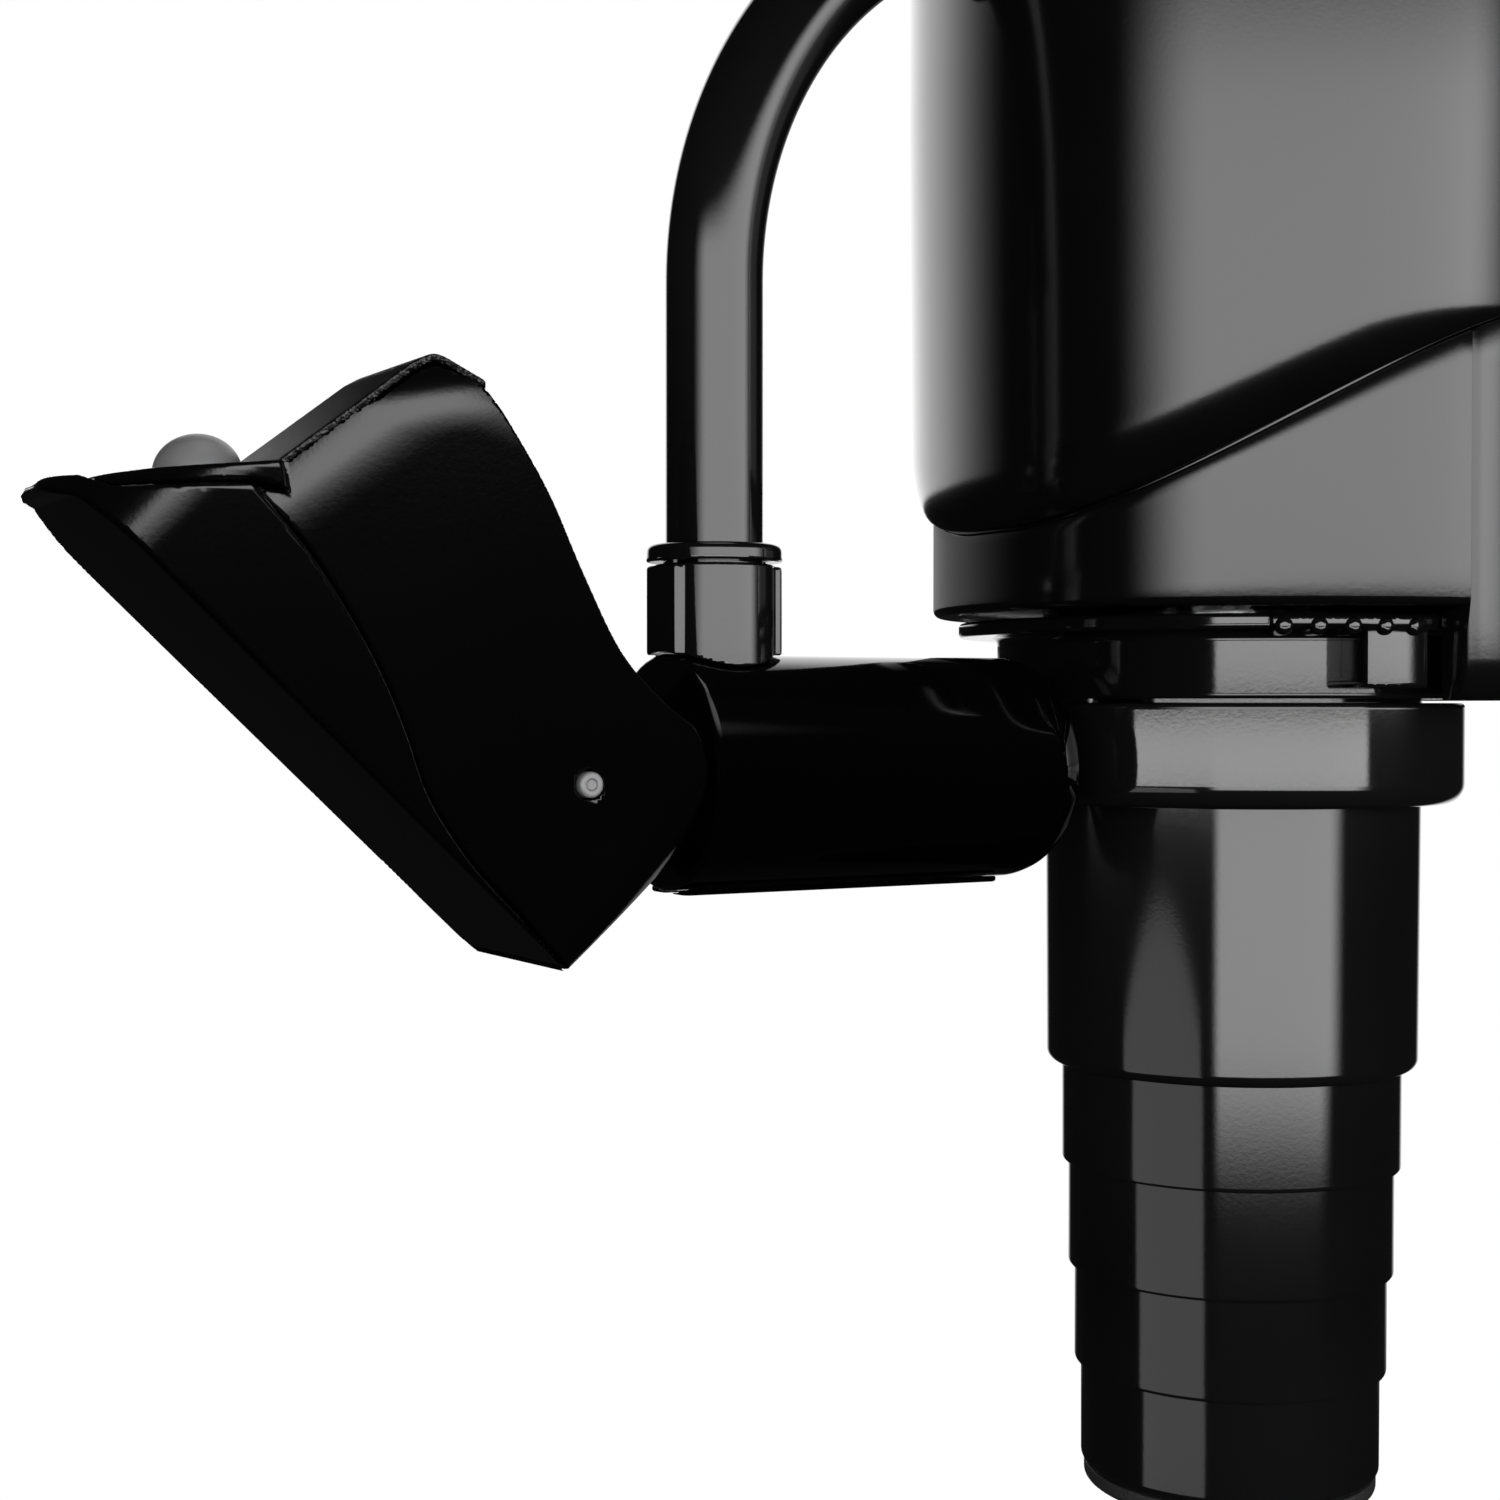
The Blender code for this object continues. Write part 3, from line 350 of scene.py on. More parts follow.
def soften(corners, closed=True, steps=6, flat=0.25):
    """Outline points from (across, up, fillet) corners, with a flat point kept beside each fillet."""
    points = []
    for i, (across, up, fillet) in enumerate(corners):
        here = np.array((across, up), float)
        if fillet == 0 or (not closed and i in (0, len(corners) - 1)):
            points.append(tuple(here))
            continue
        back = np.array(corners[i - 1][:2]) - here
        ahead = np.array(corners[(i + 1) % len(corners)][:2]) - here
        back_run, ahead_run = np.linalg.norm(back), np.linalg.norm(ahead)
        back, ahead = back / back_run, ahead / ahead_run
        half = acos(float(np.clip(back @ ahead, -1, 1))) / 2
        reach = fillet / tan(half)
        middle = here + (back + ahead) / np.linalg.norm(back + ahead) * fillet / sin(half)
        first, last = here + back * reach - middle, here + ahead * reach - middle
        sweep = pi - 2 * half
        if back_run > reach + 2 * flat:
            points.append(tuple(here + back * (reach + flat)))
        for k in range(steps + 1):
            t = k / steps
            leaving, coming = sin((1 - t) * sweep), sin(t * sweep)
            points.append(tuple(middle + (leaving * first + coming * last) / sin(sweep)))
        if ahead_run > reach + 2 * flat:
            points.append(tuple(here + ahead * (reach + flat)))
    return points


def finished(name, mesh, material, body, *nodes, slot=None, sharp=35.0):
    """Weld a mesh, turn its faces outwards, give it its finish and hand it to its body."""
    if sharp:
        net = bmesh.new()
        net.from_mesh(mesh)
        bmesh.ops.remove_doubles(net, verts=net.verts, dist=1e-6)
        bmesh.ops.dissolve_degenerate(net, edges=net.edges, dist=1e-7)
        bmesh.ops.recalc_face_normals(net, faces=net.faces)
        net.to_mesh(mesh)
        net.free()
        mesh.shade_smooth()
        mesh.set_sharp_from_angle(angle=radians(sharp))
    mesh.materials.clear()
    mesh.materials.append(material)
    made = bpy.data.objects.new(name, mesh)
    bpy.context.scene.collection.objects.link(made)
    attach(made, body)
    if nodes:
        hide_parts(*nodes)
    return made


def ringed(name, columns, closed=True):
    """A mesh through columns of points that go once round a ring."""
    columns = np.asarray(columns, float)
    count, run = columns.shape[:2]
    faces = []
    for i in range(count):
        j = (i + 1) % count
        for k in range(run if closed else run - 1):
            m = (k + 1) % run
            faces.append((i * run + k, i * run + m, j * run + m, j * run + k))
    mesh = bpy.data.meshes.new(name)
    mesh.from_pydata((columns.reshape(-1, 3) * MM).tolist(), [], faces)
    return mesh


def turned(name, outline, steps=160, place=None, closed=True):
    """A mesh turned about its own upright axis from (radius, height) points, then placed."""
    place = place or Matrix.Translation((COLUMN_X, 0, 0))
    columns = [[tuple(place @ Vector((r * cos(a), r * sin(a), z))) for r, z in outline]
               for a in (2 * pi * i / steps for i in range(steps))]
    return ringed(name, columns, closed)


def block(name, low, high):
    """A plain cutter block between two corners."""
    low, high = Vector(low) * MM, Vector(high) * MM
    net = bmesh.new()
    place = Matrix.Translation((low + high) / 2) @ Matrix.Diagonal((*(high - low), 1.0))
    bmesh.ops.create_cube(net, size=1.0, matrix=place)
    mesh = bpy.data.meshes.new(name)
    net.to_mesh(mesh)
    net.free()
    return mesh


def cut(mesh, *cutters):
    """The mesh less the cutter meshes."""
    body = bpy.data.objects.new("being_cut", mesh)
    bpy.context.scene.collection.objects.link(body)
    tools = []
    for cutter in cutters:
        tool = bpy.data.objects.new("cutter", cutter)
        bpy.context.scene.collection.objects.link(tool)
        modifier = body.modifiers.new("cut", "BOOLEAN")
        modifier.solver = "EXACT"
        modifier.object = tool
        tools.append(tool)
    bpy.context.view_layer.update()
    result = bpy.data.meshes.new_from_object(body.evaluated_get(bpy.context.evaluated_depsgraph_get()))
    for used in [body, *tools]:
        bpy.data.objects.remove(used, do_unlink=True)
    return result


def copies_tree():
    """Copies of a piece round an upright axis, each turned and raised a step further than the last."""
    tree = bpy.data.node_groups.new("stepped_copies", "GeometryNodeTree")
    tree.interface.new_socket("Geometry", in_out="OUTPUT", socket_type="NodeSocketGeometry")
    inputs = {}
    for title, kind in (("Piece", "NodeSocketObject"), ("Count", "NodeSocketInt"),
                        ("Centre", "NodeSocketVector"), ("First turn", "NodeSocketFloat"),
                        ("Turn step", "NodeSocketFloat"), ("Rise step", "NodeSocketFloat"),
                        ("Finish", "NodeSocketMaterial")):
        inputs[title] = tree.interface.new_socket(title, in_out="INPUT", socket_type=kind).identifier
    given = tree.nodes.new("NodeGroupInput")
    made = tree.nodes.new("NodeGroupOutput")

    def add(kind, links, **settings):
        node = tree.nodes.new(kind)
        for key, value in settings.items():
            setattr(node, key, value)
        for key, source in links.items():
            if hasattr(source, "links"):
                tree.links.new(source, node.inputs[key])
            else:
                node.inputs[key].default_value = source
        return node

    row = add("GeometryNodeMeshLine", {"Count": given.outputs["Count"], "Offset": (0.0, 0.0, 0.0)})
    number = add("GeometryNodeInputIndex", {})
    raised = add("ShaderNodeMath", {0: number.outputs[0], 1: given.outputs["Rise step"]},
                 operation="MULTIPLY")
    lift = add("ShaderNodeCombineXYZ", {2: raised.outputs[0]})
    spot = add("ShaderNodeVectorMath", {0: lift.outputs[0], 1: given.outputs["Centre"]}, operation="ADD")
    placed = add("GeometryNodeSetPosition", {"Geometry": row.outputs["Mesh"], "Position": spot.outputs[0]})
    further = add("ShaderNodeMath", {0: number.outputs[0], 1: given.outputs["Turn step"]},
                 operation="MULTIPLY")
    turn = add("ShaderNodeMath", {0: further.outputs[0], 1: given.outputs["First turn"]}, operation="ADD")
    turns = add("ShaderNodeCombineXYZ", {2: turn.outputs[0]})
    piece = add("GeometryNodeObjectInfo", {"Object": given.outputs["Piece"]})
    copies = add("GeometryNodeInstanceOnPoints", {
        "Points": placed.outputs[0], "Instance": piece.outputs["Geometry"], "Rotation": turns.outputs[0]})
    real = add("GeometryNodeRealizeInstances", {0: copies.outputs[0]})
    painted = add("GeometryNodeSetMaterial", {0: real.outputs[0], "Material": given.outputs["Finish"]})
    tree.links.new(painted.outputs[0], made.inputs[0])
    return tree, inputs


COPIES_TREE, COPIES_INPUTS = copies_tree()


def stepped(name, piece_mesh, count, centre, first_turn, turn_step, rise_step, finish):
    """The mesh of all copies of a piece drawn about the origin."""
    piece = bpy.data.objects.new("one_piece", piece_mesh)
    bpy.context.scene.collection.objects.link(piece)
    carrier = bpy.data.objects.new("copies", bpy.data.meshes.new("copies"))
    bpy.context.scene.collection.objects.link(carrier)
    modifier = carrier.modifiers.new("copies", "NODES")
    modifier.node_group = COPIES_TREE
    values = {"Piece": piece, "Count": count, "Centre": [c * MM for c in centre],
              "First turn": radians(first_turn), "Turn step": radians(turn_step),
              "Rise step": rise_step * MM, "Finish": finish}
    for title, value in values.items():
        modifier[COPIES_INPUTS[title]] = value
    bpy.context.view_layer.update()
    mesh = bpy.data.meshes.new_from_object(carrier.evaluated_get(bpy.context.evaluated_depsgraph_get()))
    mesh.name = name
    bpy.data.objects.remove(carrier, do_unlink=True)
    bpy.data.objects.remove(piece, do_unlink=True)
    return mesh


def upper_column(turn):
    seam = seam_height(turn)
    flush = smoothstep((from_arm(turn) - 65.0) / 50.0)
    roll = ROLL_FRONT - (ROLL_FRONT - ROLL_BACK) * flush
    edge_r = max(collar_radius(turn), HOUSING_INNER_R) + 0.4
    wall_r = HOUSING_R + (HOUSING_TOP_R - HOUSING_R) * (seam + roll - WALL_FOOT) / (WALL_HEAD - WALL_FOOT)
    shoulder = bow((HOUSING_TOP_R - SHOULDER_R, HOUSING_TOP - SHOULDER_R), SHOULDER_R, 90, 0, 14)
    wall = [(wall_r + (HOUSING_TOP_R - wall_r) * t, seam + roll + (WALL_HEAD - seam - roll) * t)
            for t in (1.0, 0.8, 0.6, 0.4, 0.2, 0.1, 0.04)]
    rolled = [(edge_r + (wall_r - edge_r) * cos(radians(a)), seam + roll * (1 - sin(radians(a))))
              for a in np.linspace(0, 90, 16)]
    ledge = PANEL_LOW - GAP
    inner = [(HOUSING_INNER_R, seam), (HOUSING_INNER_R, 163.0), (42.0, 168.0), (36.0, 168.6),
             (36.0, ledge), (38.0, ledge), (38.0, HOUSING_TOP - 0.5), (38.5, HOUSING_TOP)]
    points = shoulder + wall + rolled + inner
    return [(COLUMN_X + r * cos(turn), r * sin(turn), z) for r, z in points]


house_black = moulded("housing_black", grey=0.003, rough=0.12, grain=0.012)
housing = ringed("upper_housing_skin", [upper_column(2 * pi * i / ROUND_STEPS) for i in range(ROUND_STEPS)])
vent_cuts = stepped("vent_cuts", block("vent", (38, -15, 0), (60, 15, VENT_HEIGHT)), VENT_COUNT,
                    (COLUMN_X, 0, VENT_LOW), 0, 0, VENT_PITCH, house_black)
gland_cut = turned("gland_cut", [(0, 38), (4.7, 38), (4.7, 60), (0, 60)], 48,
                   Matrix.Translation((COLUMN_X, 0, GLAND_Z)) @ Matrix.Rotation(pi / 2, 4, "Y"),
                   closed=False)
finished("upper_housing_skin", cut(housing, vent_cuts, gland_cut), house_black, "head", "upper_housing")

# ---------------------------------------------------------------------------------------------------------
# Lower housing: the collar under the seam, moulded with a spigot that the upper housing slides over. On the
# arm's side it ends above the lock ring; behind, its skirt drops lower with a rounded front edge.
# ---------------------------------------------------------------------------------------------------------
COLLAR_FLOOR, COLLAR_BOTTOM, SKIRT_BOTTOM, SKIRT_ROLL = 38.4, 38.0, 25.4, 5.6
COLLAR_INNER_R, SPIGOT_R, SPIGOT_TOP = 42.0, 44.9, 93.9
FLOOR_HOLE_R, FLOOR_TOP = 19.0, 41.2
SKIRT_EDGE_R, COLLAR_ROLL = 1.6, 1.2
EDGE_CLEAR, SLIVER, EDGE_REACH = 0.04, 0.0004, 46.0


def collar_column(turn, bottom, roll, inset):
    radius = collar_radius(turn) - inset
    seam = seam_height(turn) - GAP
    sink = 2.4 if roll > 2 else roll
    wall = [(radius, seam - 0.5 - (seam - 0.5 - bottom - roll) * t) for t in np.linspace(0, 1, 9)]
    rolled = [(radius - sink * (1 - cos(radians(a))), bottom + roll * (1 - sin(radians(a))))
              for a in np.linspace(0, 90, 12)[1:]]
    points = [(SPIGOT_R, SPIGOT_TOP), (SPIGOT_R, seam), (radius - 0.5, seam), (radius - 0.15, seam - 0.15)]
    points += wall + rolled + [(COLLAR_INNER_R + 0.2, bottom), (COLLAR_INNER_R, COLLAR_FLOOR),
                               (FLOOR_HOLE_R, COLLAR_FLOOR), (FLOOR_HOLE_R, FLOOR_TOP),
                               (COLLAR_INNER_R, FLOOR_TOP), (COLLAR_INNER_R, SPIGOT_TOP)]
    return [(COLUMN_X + r * cos(turn), r * sin(turn), z) for r, z in points]


collar_columns = []
edge_runs = [SKIRT_EDGE_R * (1 - cos(radians(a))) for a in np.linspace(0, 90, 9)]
for i in range(ROUND_STEPS):
    turn = -pi + 2 * pi * i / ROUND_STEPS
    behind = abs(turn) < pi / 2 - 1e-6
    near_edge = abs(abs(turn) - pi / 2) < EDGE_CLEAR
    if not near_edge:
        lower_edge = (SKIRT_BOTTOM, SKIRT_ROLL) if behind else (COLLAR_BOTTOM, COLLAR_ROLL)
        collar_columns.append((turn, *lower_edge, 0.0))
for side in (-1, 1):
    collar_columns.append((side * (pi / 2 + SLIVER), COLLAR_BOTTOM, COLLAR_ROLL, 0.0))
    for run in edge_runs:
        inset = SKIRT_EDGE_R - sqrt(max(0.0, SKIRT_EDGE_R ** 2 - (SKIRT_EDGE_R - run) ** 2))
        collar_columns.append((side * (pi / 2 - SLIVER - run / EDGE_REACH), SKIRT_BOTTOM, SKIRT_ROLL, inset))
collar_columns.sort()
collar = ringed("lower_housing_skin", [collar_column(*column) for column in collar_columns])
finished("lower_housing_skin", collar, house_black, "head", "lower_housing")

# ---------------------------------------------------------------------------------------------------------
# Control top: a recessed panel with a dark window, a turning dial with moulded grips and three small keys.
# The window covers a lit number display; the dial stands on its encoder and the keys on their switches.
# ---------------------------------------------------------------------------------------------------------
DIAL_X, DIAL_R = COLUMN_X - 10.0, 13.0
KEYS = {"key_power": (COLUMN_X - 29.0, 0.0), "key_time": (COLUMN_X - 10.0, -24.0),
        "key_heat": (COLUMN_X - 10.0, 24.0)}


def upright(x, y):
    return Matrix.Translation((x, y, 0))


panel_black = moulded("panel_black", rough=0.3, grain=0.1)
grip_black = moulded("grip_black", grey=0.012, rough=0.5, grain=0.35, scale=2400.0)
panel_outline = soften([(0, PANEL_HIGH, 0), (PANEL_R, PANEL_HIGH, 0.8), (PANEL_R, PANEL_LOW, 0.3),
                        (0, PANEL_LOW, 0)], closed=False)
holes = [turned("hole", [(0, 160), (4.3, 160), (4.3, 190), (0, 190)], 48, upright(x, y), closed=False)
         for x, y in [(DIAL_X, 0), *KEYS.values()]]
window_cut = block("window_cut", (COLUMN_X + 8.7, -18.3, 173.9), (COLUMN_X + 27.3, 18.3, 180))
panel = cut(turned("panel_skin", panel_outline, 160, closed=False), *holes, window_cut)
finished("panel_skin", panel, panel_black, "head", "top_panel")

tick = block("tick", (15.6, -0.25, 0), (17.4, 0.25, 0.12))
white_print = moulded("white_print", grey=0.7, rough=0.5, grain=0.1)
ticks = stepped("dial_ticks", tick, 21, (DIAL_X, 0, PANEL_HIGH - 0.02), 30, 15, 0, white_print)
finished("dial_ticks", ticks, white_print, "head", slot="top_panel")

dial_outline = soften([(0, 187.6, 0), (DIAL_R - 2.2, 187.6, 1.0), (DIAL_R - 0.8, 186.2, 0.8),
                       (DIAL_R - 0.6, 177.0, 0.4), (DIAL_R - 1.4, 176.2, 0.3), (4.0, 176.2, 0.2),
                       (4.0, 168.6, 0.2), (0, 168.6, 0)], closed=False)
mark_cut = block("mark_cut", (DIAL_X - 12.4, -0.6, 187.0), (DIAL_X - 5, 0.6, 189.0))
dial = cut(turned("dial_skin", dial_outline, 120, upright(DIAL_X, 0), closed=False), mark_cut)
finished("dial_skin", dial, grip_black, "dial", "selector_dial")
rib = turned("rib", soften([(0, 186.0, 0), (0.55, 186.0, 0.3), (0.55, 177.4, 0.3), (0, 177.4, 0)],
                           closed=False, steps=3),
             10, Matrix.Translation((DIAL_R - 0.6, 0, 0)), closed=False)
ribs = stepped("dial_ribs", rib, 36, (DIAL_X, 0, 0), 5, 10, 0, grip_black)
finished("dial_ribs", ribs, grip_black, "dial", slot="selector_dial")
finished("dial_mark", block("dial_mark", (DIAL_X - 11.2, -0.5, 186.95), (DIAL_X - 5.2, 0.5, 187.12)),
         white_print, "dial", slot="selector_dial")

for name, (x, y) in KEYS.items():
    key_outline = soften([(0, 177.0, 0), (2.0, 177.02, 0), (3.0, 177.3, 0.3), (4.0, 176.6, 0.5),
                          (4.0, PANEL_LOW - GAP, 0.2), (5.2, PANEL_LOW - GAP, 0.2), (5.2, 171.0, 0.2),
                          (0, 171.0, 0)], closed=False)
    finished(name + "_cap", turned(name + "_cap", key_outline, 64, upright(x, y), closed=False),
             grip_black, name, name)

window_shader = Shader("dark_window")
place = window_shader.node("ShaderNodeTexCoord", None, None, 3)
haze = window_shader.node("ShaderNodeTexNoise", None, {"Vector": place, "Scale": 60.0, "Detail": 2.0})
window_tone = window_shader.node("ShaderNodeValToRGB", {
    "stops": [(0.3, (0.003, 0.004, 0.005, 1)), (0.7, (0.006, 0.007, 0.009, 1))]}, {0: haze})
glass = window_shader.node("ShaderNodeBsdfPrincipled", None, {"Base Color": window_tone,
                                                             "Roughness": 0.04 + haze * 0.03})
window_shader.node("ShaderNodeOutputMaterial", None, {"Surface": glass})
window_low, window_high = (Vector(corner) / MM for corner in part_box("display_lens"))
window = block("window_skin", window_low, window_high)
net = bmesh.new()
net.from_mesh(window)
bmesh.ops.bevel(net, geom=net.edges[:], offset=0.4 * MM, segments=3, affect="EDGES")
net.to_mesh(window)
net.free()
finished("window_skin", window, window_shader.material, "head", "display_lens")

glow_shader = Shader("display_glow")
place = glow_shader.node("ShaderNodeTexCoord", None, None, 3)
flicker = glow_shader.node("ShaderNodeTexNoise", None, {"Vector": place, "Scale": 500.0})
glow_tone = glow_shader.node("ShaderNodeValToRGB", {"stops": [(0.3, (0.5, 0.75, 0.9, 1)),
                                                              (0.7, (0.7, 0.9, 1.0, 1))]}, {0: flicker})
lit = glow_shader.node("ShaderNodeBsdfPrincipled", None, {
    "Base Color": glow_tone, "Emission Color": glow_tone, "Emission Strength": 1.2})
glow_shader.node("ShaderNodeOutputMaterial", None, {"Surface": lit})
SEGMENTS = {"a": (2.6, 0, 1), "g": (0, 0, 1), "d": (-2.6, 0, 1), "f": (1.3, 1.3, 0), "b": (1.3, -1.3, 0),
            "e": (-1.3, 1.3, 0), "c": (-1.3, -1.3, 0)}
shown = [(9.0, "afgecd"), (3.6, "abcdef"), (-3.6, "abcdef")]
bars = bmesh.new()
for shift, lit_bars in shown:
    for letter in lit_bars:
        up, side, level = SEGMENTS[letter]
        half = (0.22, 0.95) if level else (0.95, 0.22)
        corner = Matrix.Translation(Vector((COLUMN_X + 18 + up, shift + side, window_high.z + 0.03)) * MM)
        bmesh.ops.create_cube(bars, size=1.0, matrix=corner @ Matrix.Diagonal(
            (2 * half[0] * MM, 2 * half[1] * MM, 0.06 * MM, 1.0)))
digits = bpy.data.meshes.new("display_digits")
bars.to_mesh(digits)
bars.free()
finished("display_digits", digits, glow_shader.material, "head", slot="display_lens")

# ---------------------------------------------------------------------------------------------------------
# Lock ring: a bayonet ring between head and arm. A round neck runs up to a thin flange, and a ridged thumb
# tab with a stop block hangs at the side. It is glossy black and turns 25 degrees.
# ---------------------------------------------------------------------------------------------------------
RING_R, RING_LOW, RING_HIGH = 34.0, 10.2, 25.0
COLLAR_BORE = 28.4
NECK_R, NECK_LOW = 35.3, 25.6
FLANGE_R, FLANGE_LOW, FLANGE_HIGH = 41.2, 34.9, 37.1
TAB_R, TAB_FROM, TAB_TO = 42.6, -125.0, -92.5
STOP_FROM, STOP_LOW = -107.0, 27.0
RIDGE_COUNT, RIDGE_R, RIDGE_PITCH = 5, 1.3, 6.4

gloss_black = moulded("gloss_black", grey=0.003, rough=0.07, grain=0.008)
lock_outline = soften([(FLANGE_R, FLANGE_HIGH, 0.6), (FLANGE_R, FLANGE_LOW, 0.6), (NECK_R, FLANGE_LOW, 1.2),
                       (NECK_R, NECK_LOW, 0.5), (COLLAR_BORE, NECK_LOW, 0.3),
                       (COLLAR_BORE, FLANGE_HIGH, 0.3)])
lock_mesh = turned("lock_ring_skin", lock_outline, 200)
finished("lock_ring_skin", lock_mesh, gloss_black, "lock_ring", "lock_ring")


def meet(first, second, radius):
    """Distance to where two solids overlap, with the edge between them rounded."""
    a, b = np.maximum(first + radius, 0), np.maximum(second + radius, 0)
    return np.minimum(np.maximum(first, second), -radius) + np.sqrt(a * a + b * b)


def less(first, second, radius):
    """Distance to the first solid with the second taken away."""
    return meet(first, -second, radius)


def joined(first, second, radius):
    """Distance to two solids grown together, with a fillet where they meet."""
    return -meet(-first, -second, radius)


def round_box(across, up, radius):
    """Distance to a rounded corner, from how far each side lies outside its own face."""
    a, b = np.maximum(across + radius, 0), np.maximum(up + radius, 0)
    return np.minimum(np.maximum(across, up) + radius, 0) + np.sqrt(a * a + b * b) - radius


CUBE_EDGES = [((0, 0, 0), (1, 0, 0)), ((0, 1, 0), (1, 1, 0)), ((0, 0, 1), (1, 0, 1)), ((0, 1, 1), (1, 1, 1)),
              ((0, 0, 0), (0, 1, 0)), ((1, 0, 0), (1, 1, 0)), ((0, 0, 1), (0, 1, 1)), ((1, 0, 1), (1, 1, 1)),
              ((0, 0, 0), (0, 0, 1)), ((1, 0, 0), (1, 0, 1)), ((0, 1, 0), (0, 1, 1)), ((1, 1, 0), (1, 1, 1))]


def cast(name, solid, low, high, pitch):
    """A mesh of a solid's surface: one point in each grid cell it crosses, then drawn onto the surface."""
    axes = [np.arange(a, b + pitch, pitch) for a, b in zip(low, high)]
    shape = tuple(len(axis) for axis in axes)
    grid = axes[0][:, None, None], axes[1][None, :, None], axes[2][None, None, :]
    depth = np.broadcast_to(solid(*grid), shape)
    inside = depth < 0
    held = sum(inside[i:shape[0] - 1 + i, j:shape[1] - 1 + j, k:shape[2] - 1 + k].astype(np.int8)
               for i in (0, 1) for j in (0, 1) for k in (0, 1))
    cells = np.argwhere((held > 0) & (held < 8))
    number = np.full(held.shape, -1, np.int64)
    number[tuple(cells.T)] = np.arange(len(cells))
    total, hits = np.zeros((len(cells), 3)), np.zeros(len(cells))
    for start, end in CUBE_EDGES:
        a, b = depth[tuple((cells + start).T)], depth[tuple((cells + end).T)]
        crossed = (a < 0) != (b < 0)
        share = np.where(crossed, a / np.where(crossed, a - b, 1.0), 0.0)
        spot = cells + start + share[:, None] * (np.array(end) - start)
        total += spot * crossed[:, None]
        hits += crossed
    points = total / hits[:, None] * pitch + np.array([axis[0] for axis in axes])
    nudge = pitch * 0.05
    for _ in range(3):
        x, y, z = points.T
        value = solid(x, y, z)
        slope = np.stack([solid(x + nudge, y, z) - solid(x - nudge, y, z),
                          solid(x, y + nudge, z) - solid(x, y - nudge, z),
                          solid(x, y, z + nudge) - solid(x, y, z - nudge)], axis=1) / (2 * nudge)
        move = value[:, None] * slope / np.maximum((slope ** 2).sum(1), 0.3)[:, None]
        points = points - np.clip(move, -0.4 * pitch, 0.4 * pitch)
    faces = []
    for axis in range(3):
        u, v = (axis + 1) % 3, (axis + 2) % 3
        here = [slice(None)] * 3
        there = [slice(None)] * 3
        here[axis], there[axis] = slice(0, -1), slice(1, None)
        change = inside[tuple(here)] != inside[tuple(there)]
        where = np.argwhere(change)
        where = where[(where[:, u] > 0) & (where[:, v] > 0) & (where[:, u] < shape[u] - 1)
                      & (where[:, v] < shape[v] - 1)]
        step_u, step_v = np.eye(3, dtype=int)[u], np.eye(3, dtype=int)[v]
        corners = (step_u + step_v, step_v, 0 * step_v, step_u)
        quad = np.stack([number[tuple((where - corner).T)] for corner in corners], axis=1)
        flip = ~inside[tuple(where.T)]
        quad[flip] = quad[flip][:, ::-1]
        faces.append(quad)
    x, y, z = points.T
    slope = np.stack([solid(x + nudge, y, z) - solid(x - nudge, y, z),
                      solid(x, y + nudge, z) - solid(x, y - nudge, z),
                      solid(x, y, z + nudge) - solid(x, y, z - nudge)], axis=1)
    mesh = bpy.data.meshes.new(name)
    mesh.from_pydata((points * MM).tolist(), [], np.concatenate(faces).tolist())
    mesh.shade_smooth()
    mesh.normals_split_custom_set_from_vertices((slope / np.linalg.norm(slope, axis=1)[:, None]).tolist())
    return mesh


def thumb_tab(x, y, z):
    """Flat tab beyond the flange with a block under its free end."""
    out = np.hypot(x - COLUMN_X, y)
    turn = np.degrees(np.arctan2(y, x - COLUMN_X))
    middle, spread = (TAB_FROM + TAB_TO) / 2, (TAB_TO - TAB_FROM) / 2
    sides = (np.abs(turn - middle) - spread) * radians(1) * out
    slab = round_box(np.abs(z - (FLANGE_LOW + FLANGE_HIGH) / 2) - 0.8,
                     np.maximum(out - TAB_R, 34.5 - out), 0.5)
    tab = meet(slab, sides, 0.6)
    middle, spread = (STOP_FROM + TAB_TO - 0.4) / 2, (TAB_TO - 0.4 - STOP_FROM) / 2
    sides = (np.abs(turn - middle) - spread) * radians(1) * out
    heights = np.maximum(STOP_LOW - z, z - FLANGE_LOW - 1.0)
    stop = meet(meet(np.maximum(out - TAB_R + 0.5, 34.6 - out), heights, 0.5), sides, 0.8)
    return joined(tab, stop, 0.6)


tab_low = (COLUMN_X - 27.0, -45.0, STOP_LOW - 1.5)
tab_mesh = cast("thumb_tab", thumb_tab, tab_low, (COLUMN_X + 1.0, -27.0, FLANGE_HIGH + 1.5), 0.4)
finished("thumb_tab", tab_mesh, gloss_black, "lock_ring", slot="lock_ring", sharp=None)
ridge_outline = soften([(0, TAB_R + 0.5, 0), (RIDGE_R, TAB_R + 0.5, 0.9), (RIDGE_R, 36.0, 0.3),
                        (0, 36.0, 0)], closed=False)
ridge = turned("ridge", ridge_outline, 32,
               Matrix.Translation((0, 0, FLANGE_LOW + 0.45)) @ Matrix.Rotation(pi / 2, 4, "Y"), closed=False)
ridges = stepped("thumb_ridges", ridge, RIDGE_COUNT, (COLUMN_X, 0, 0), TAB_FROM + 2.5, RIDGE_PITCH, 0,
                 gloss_black)
finished("thumb_ridges", ridges, gloss_black, "lock_ring", slot="lock_ring")

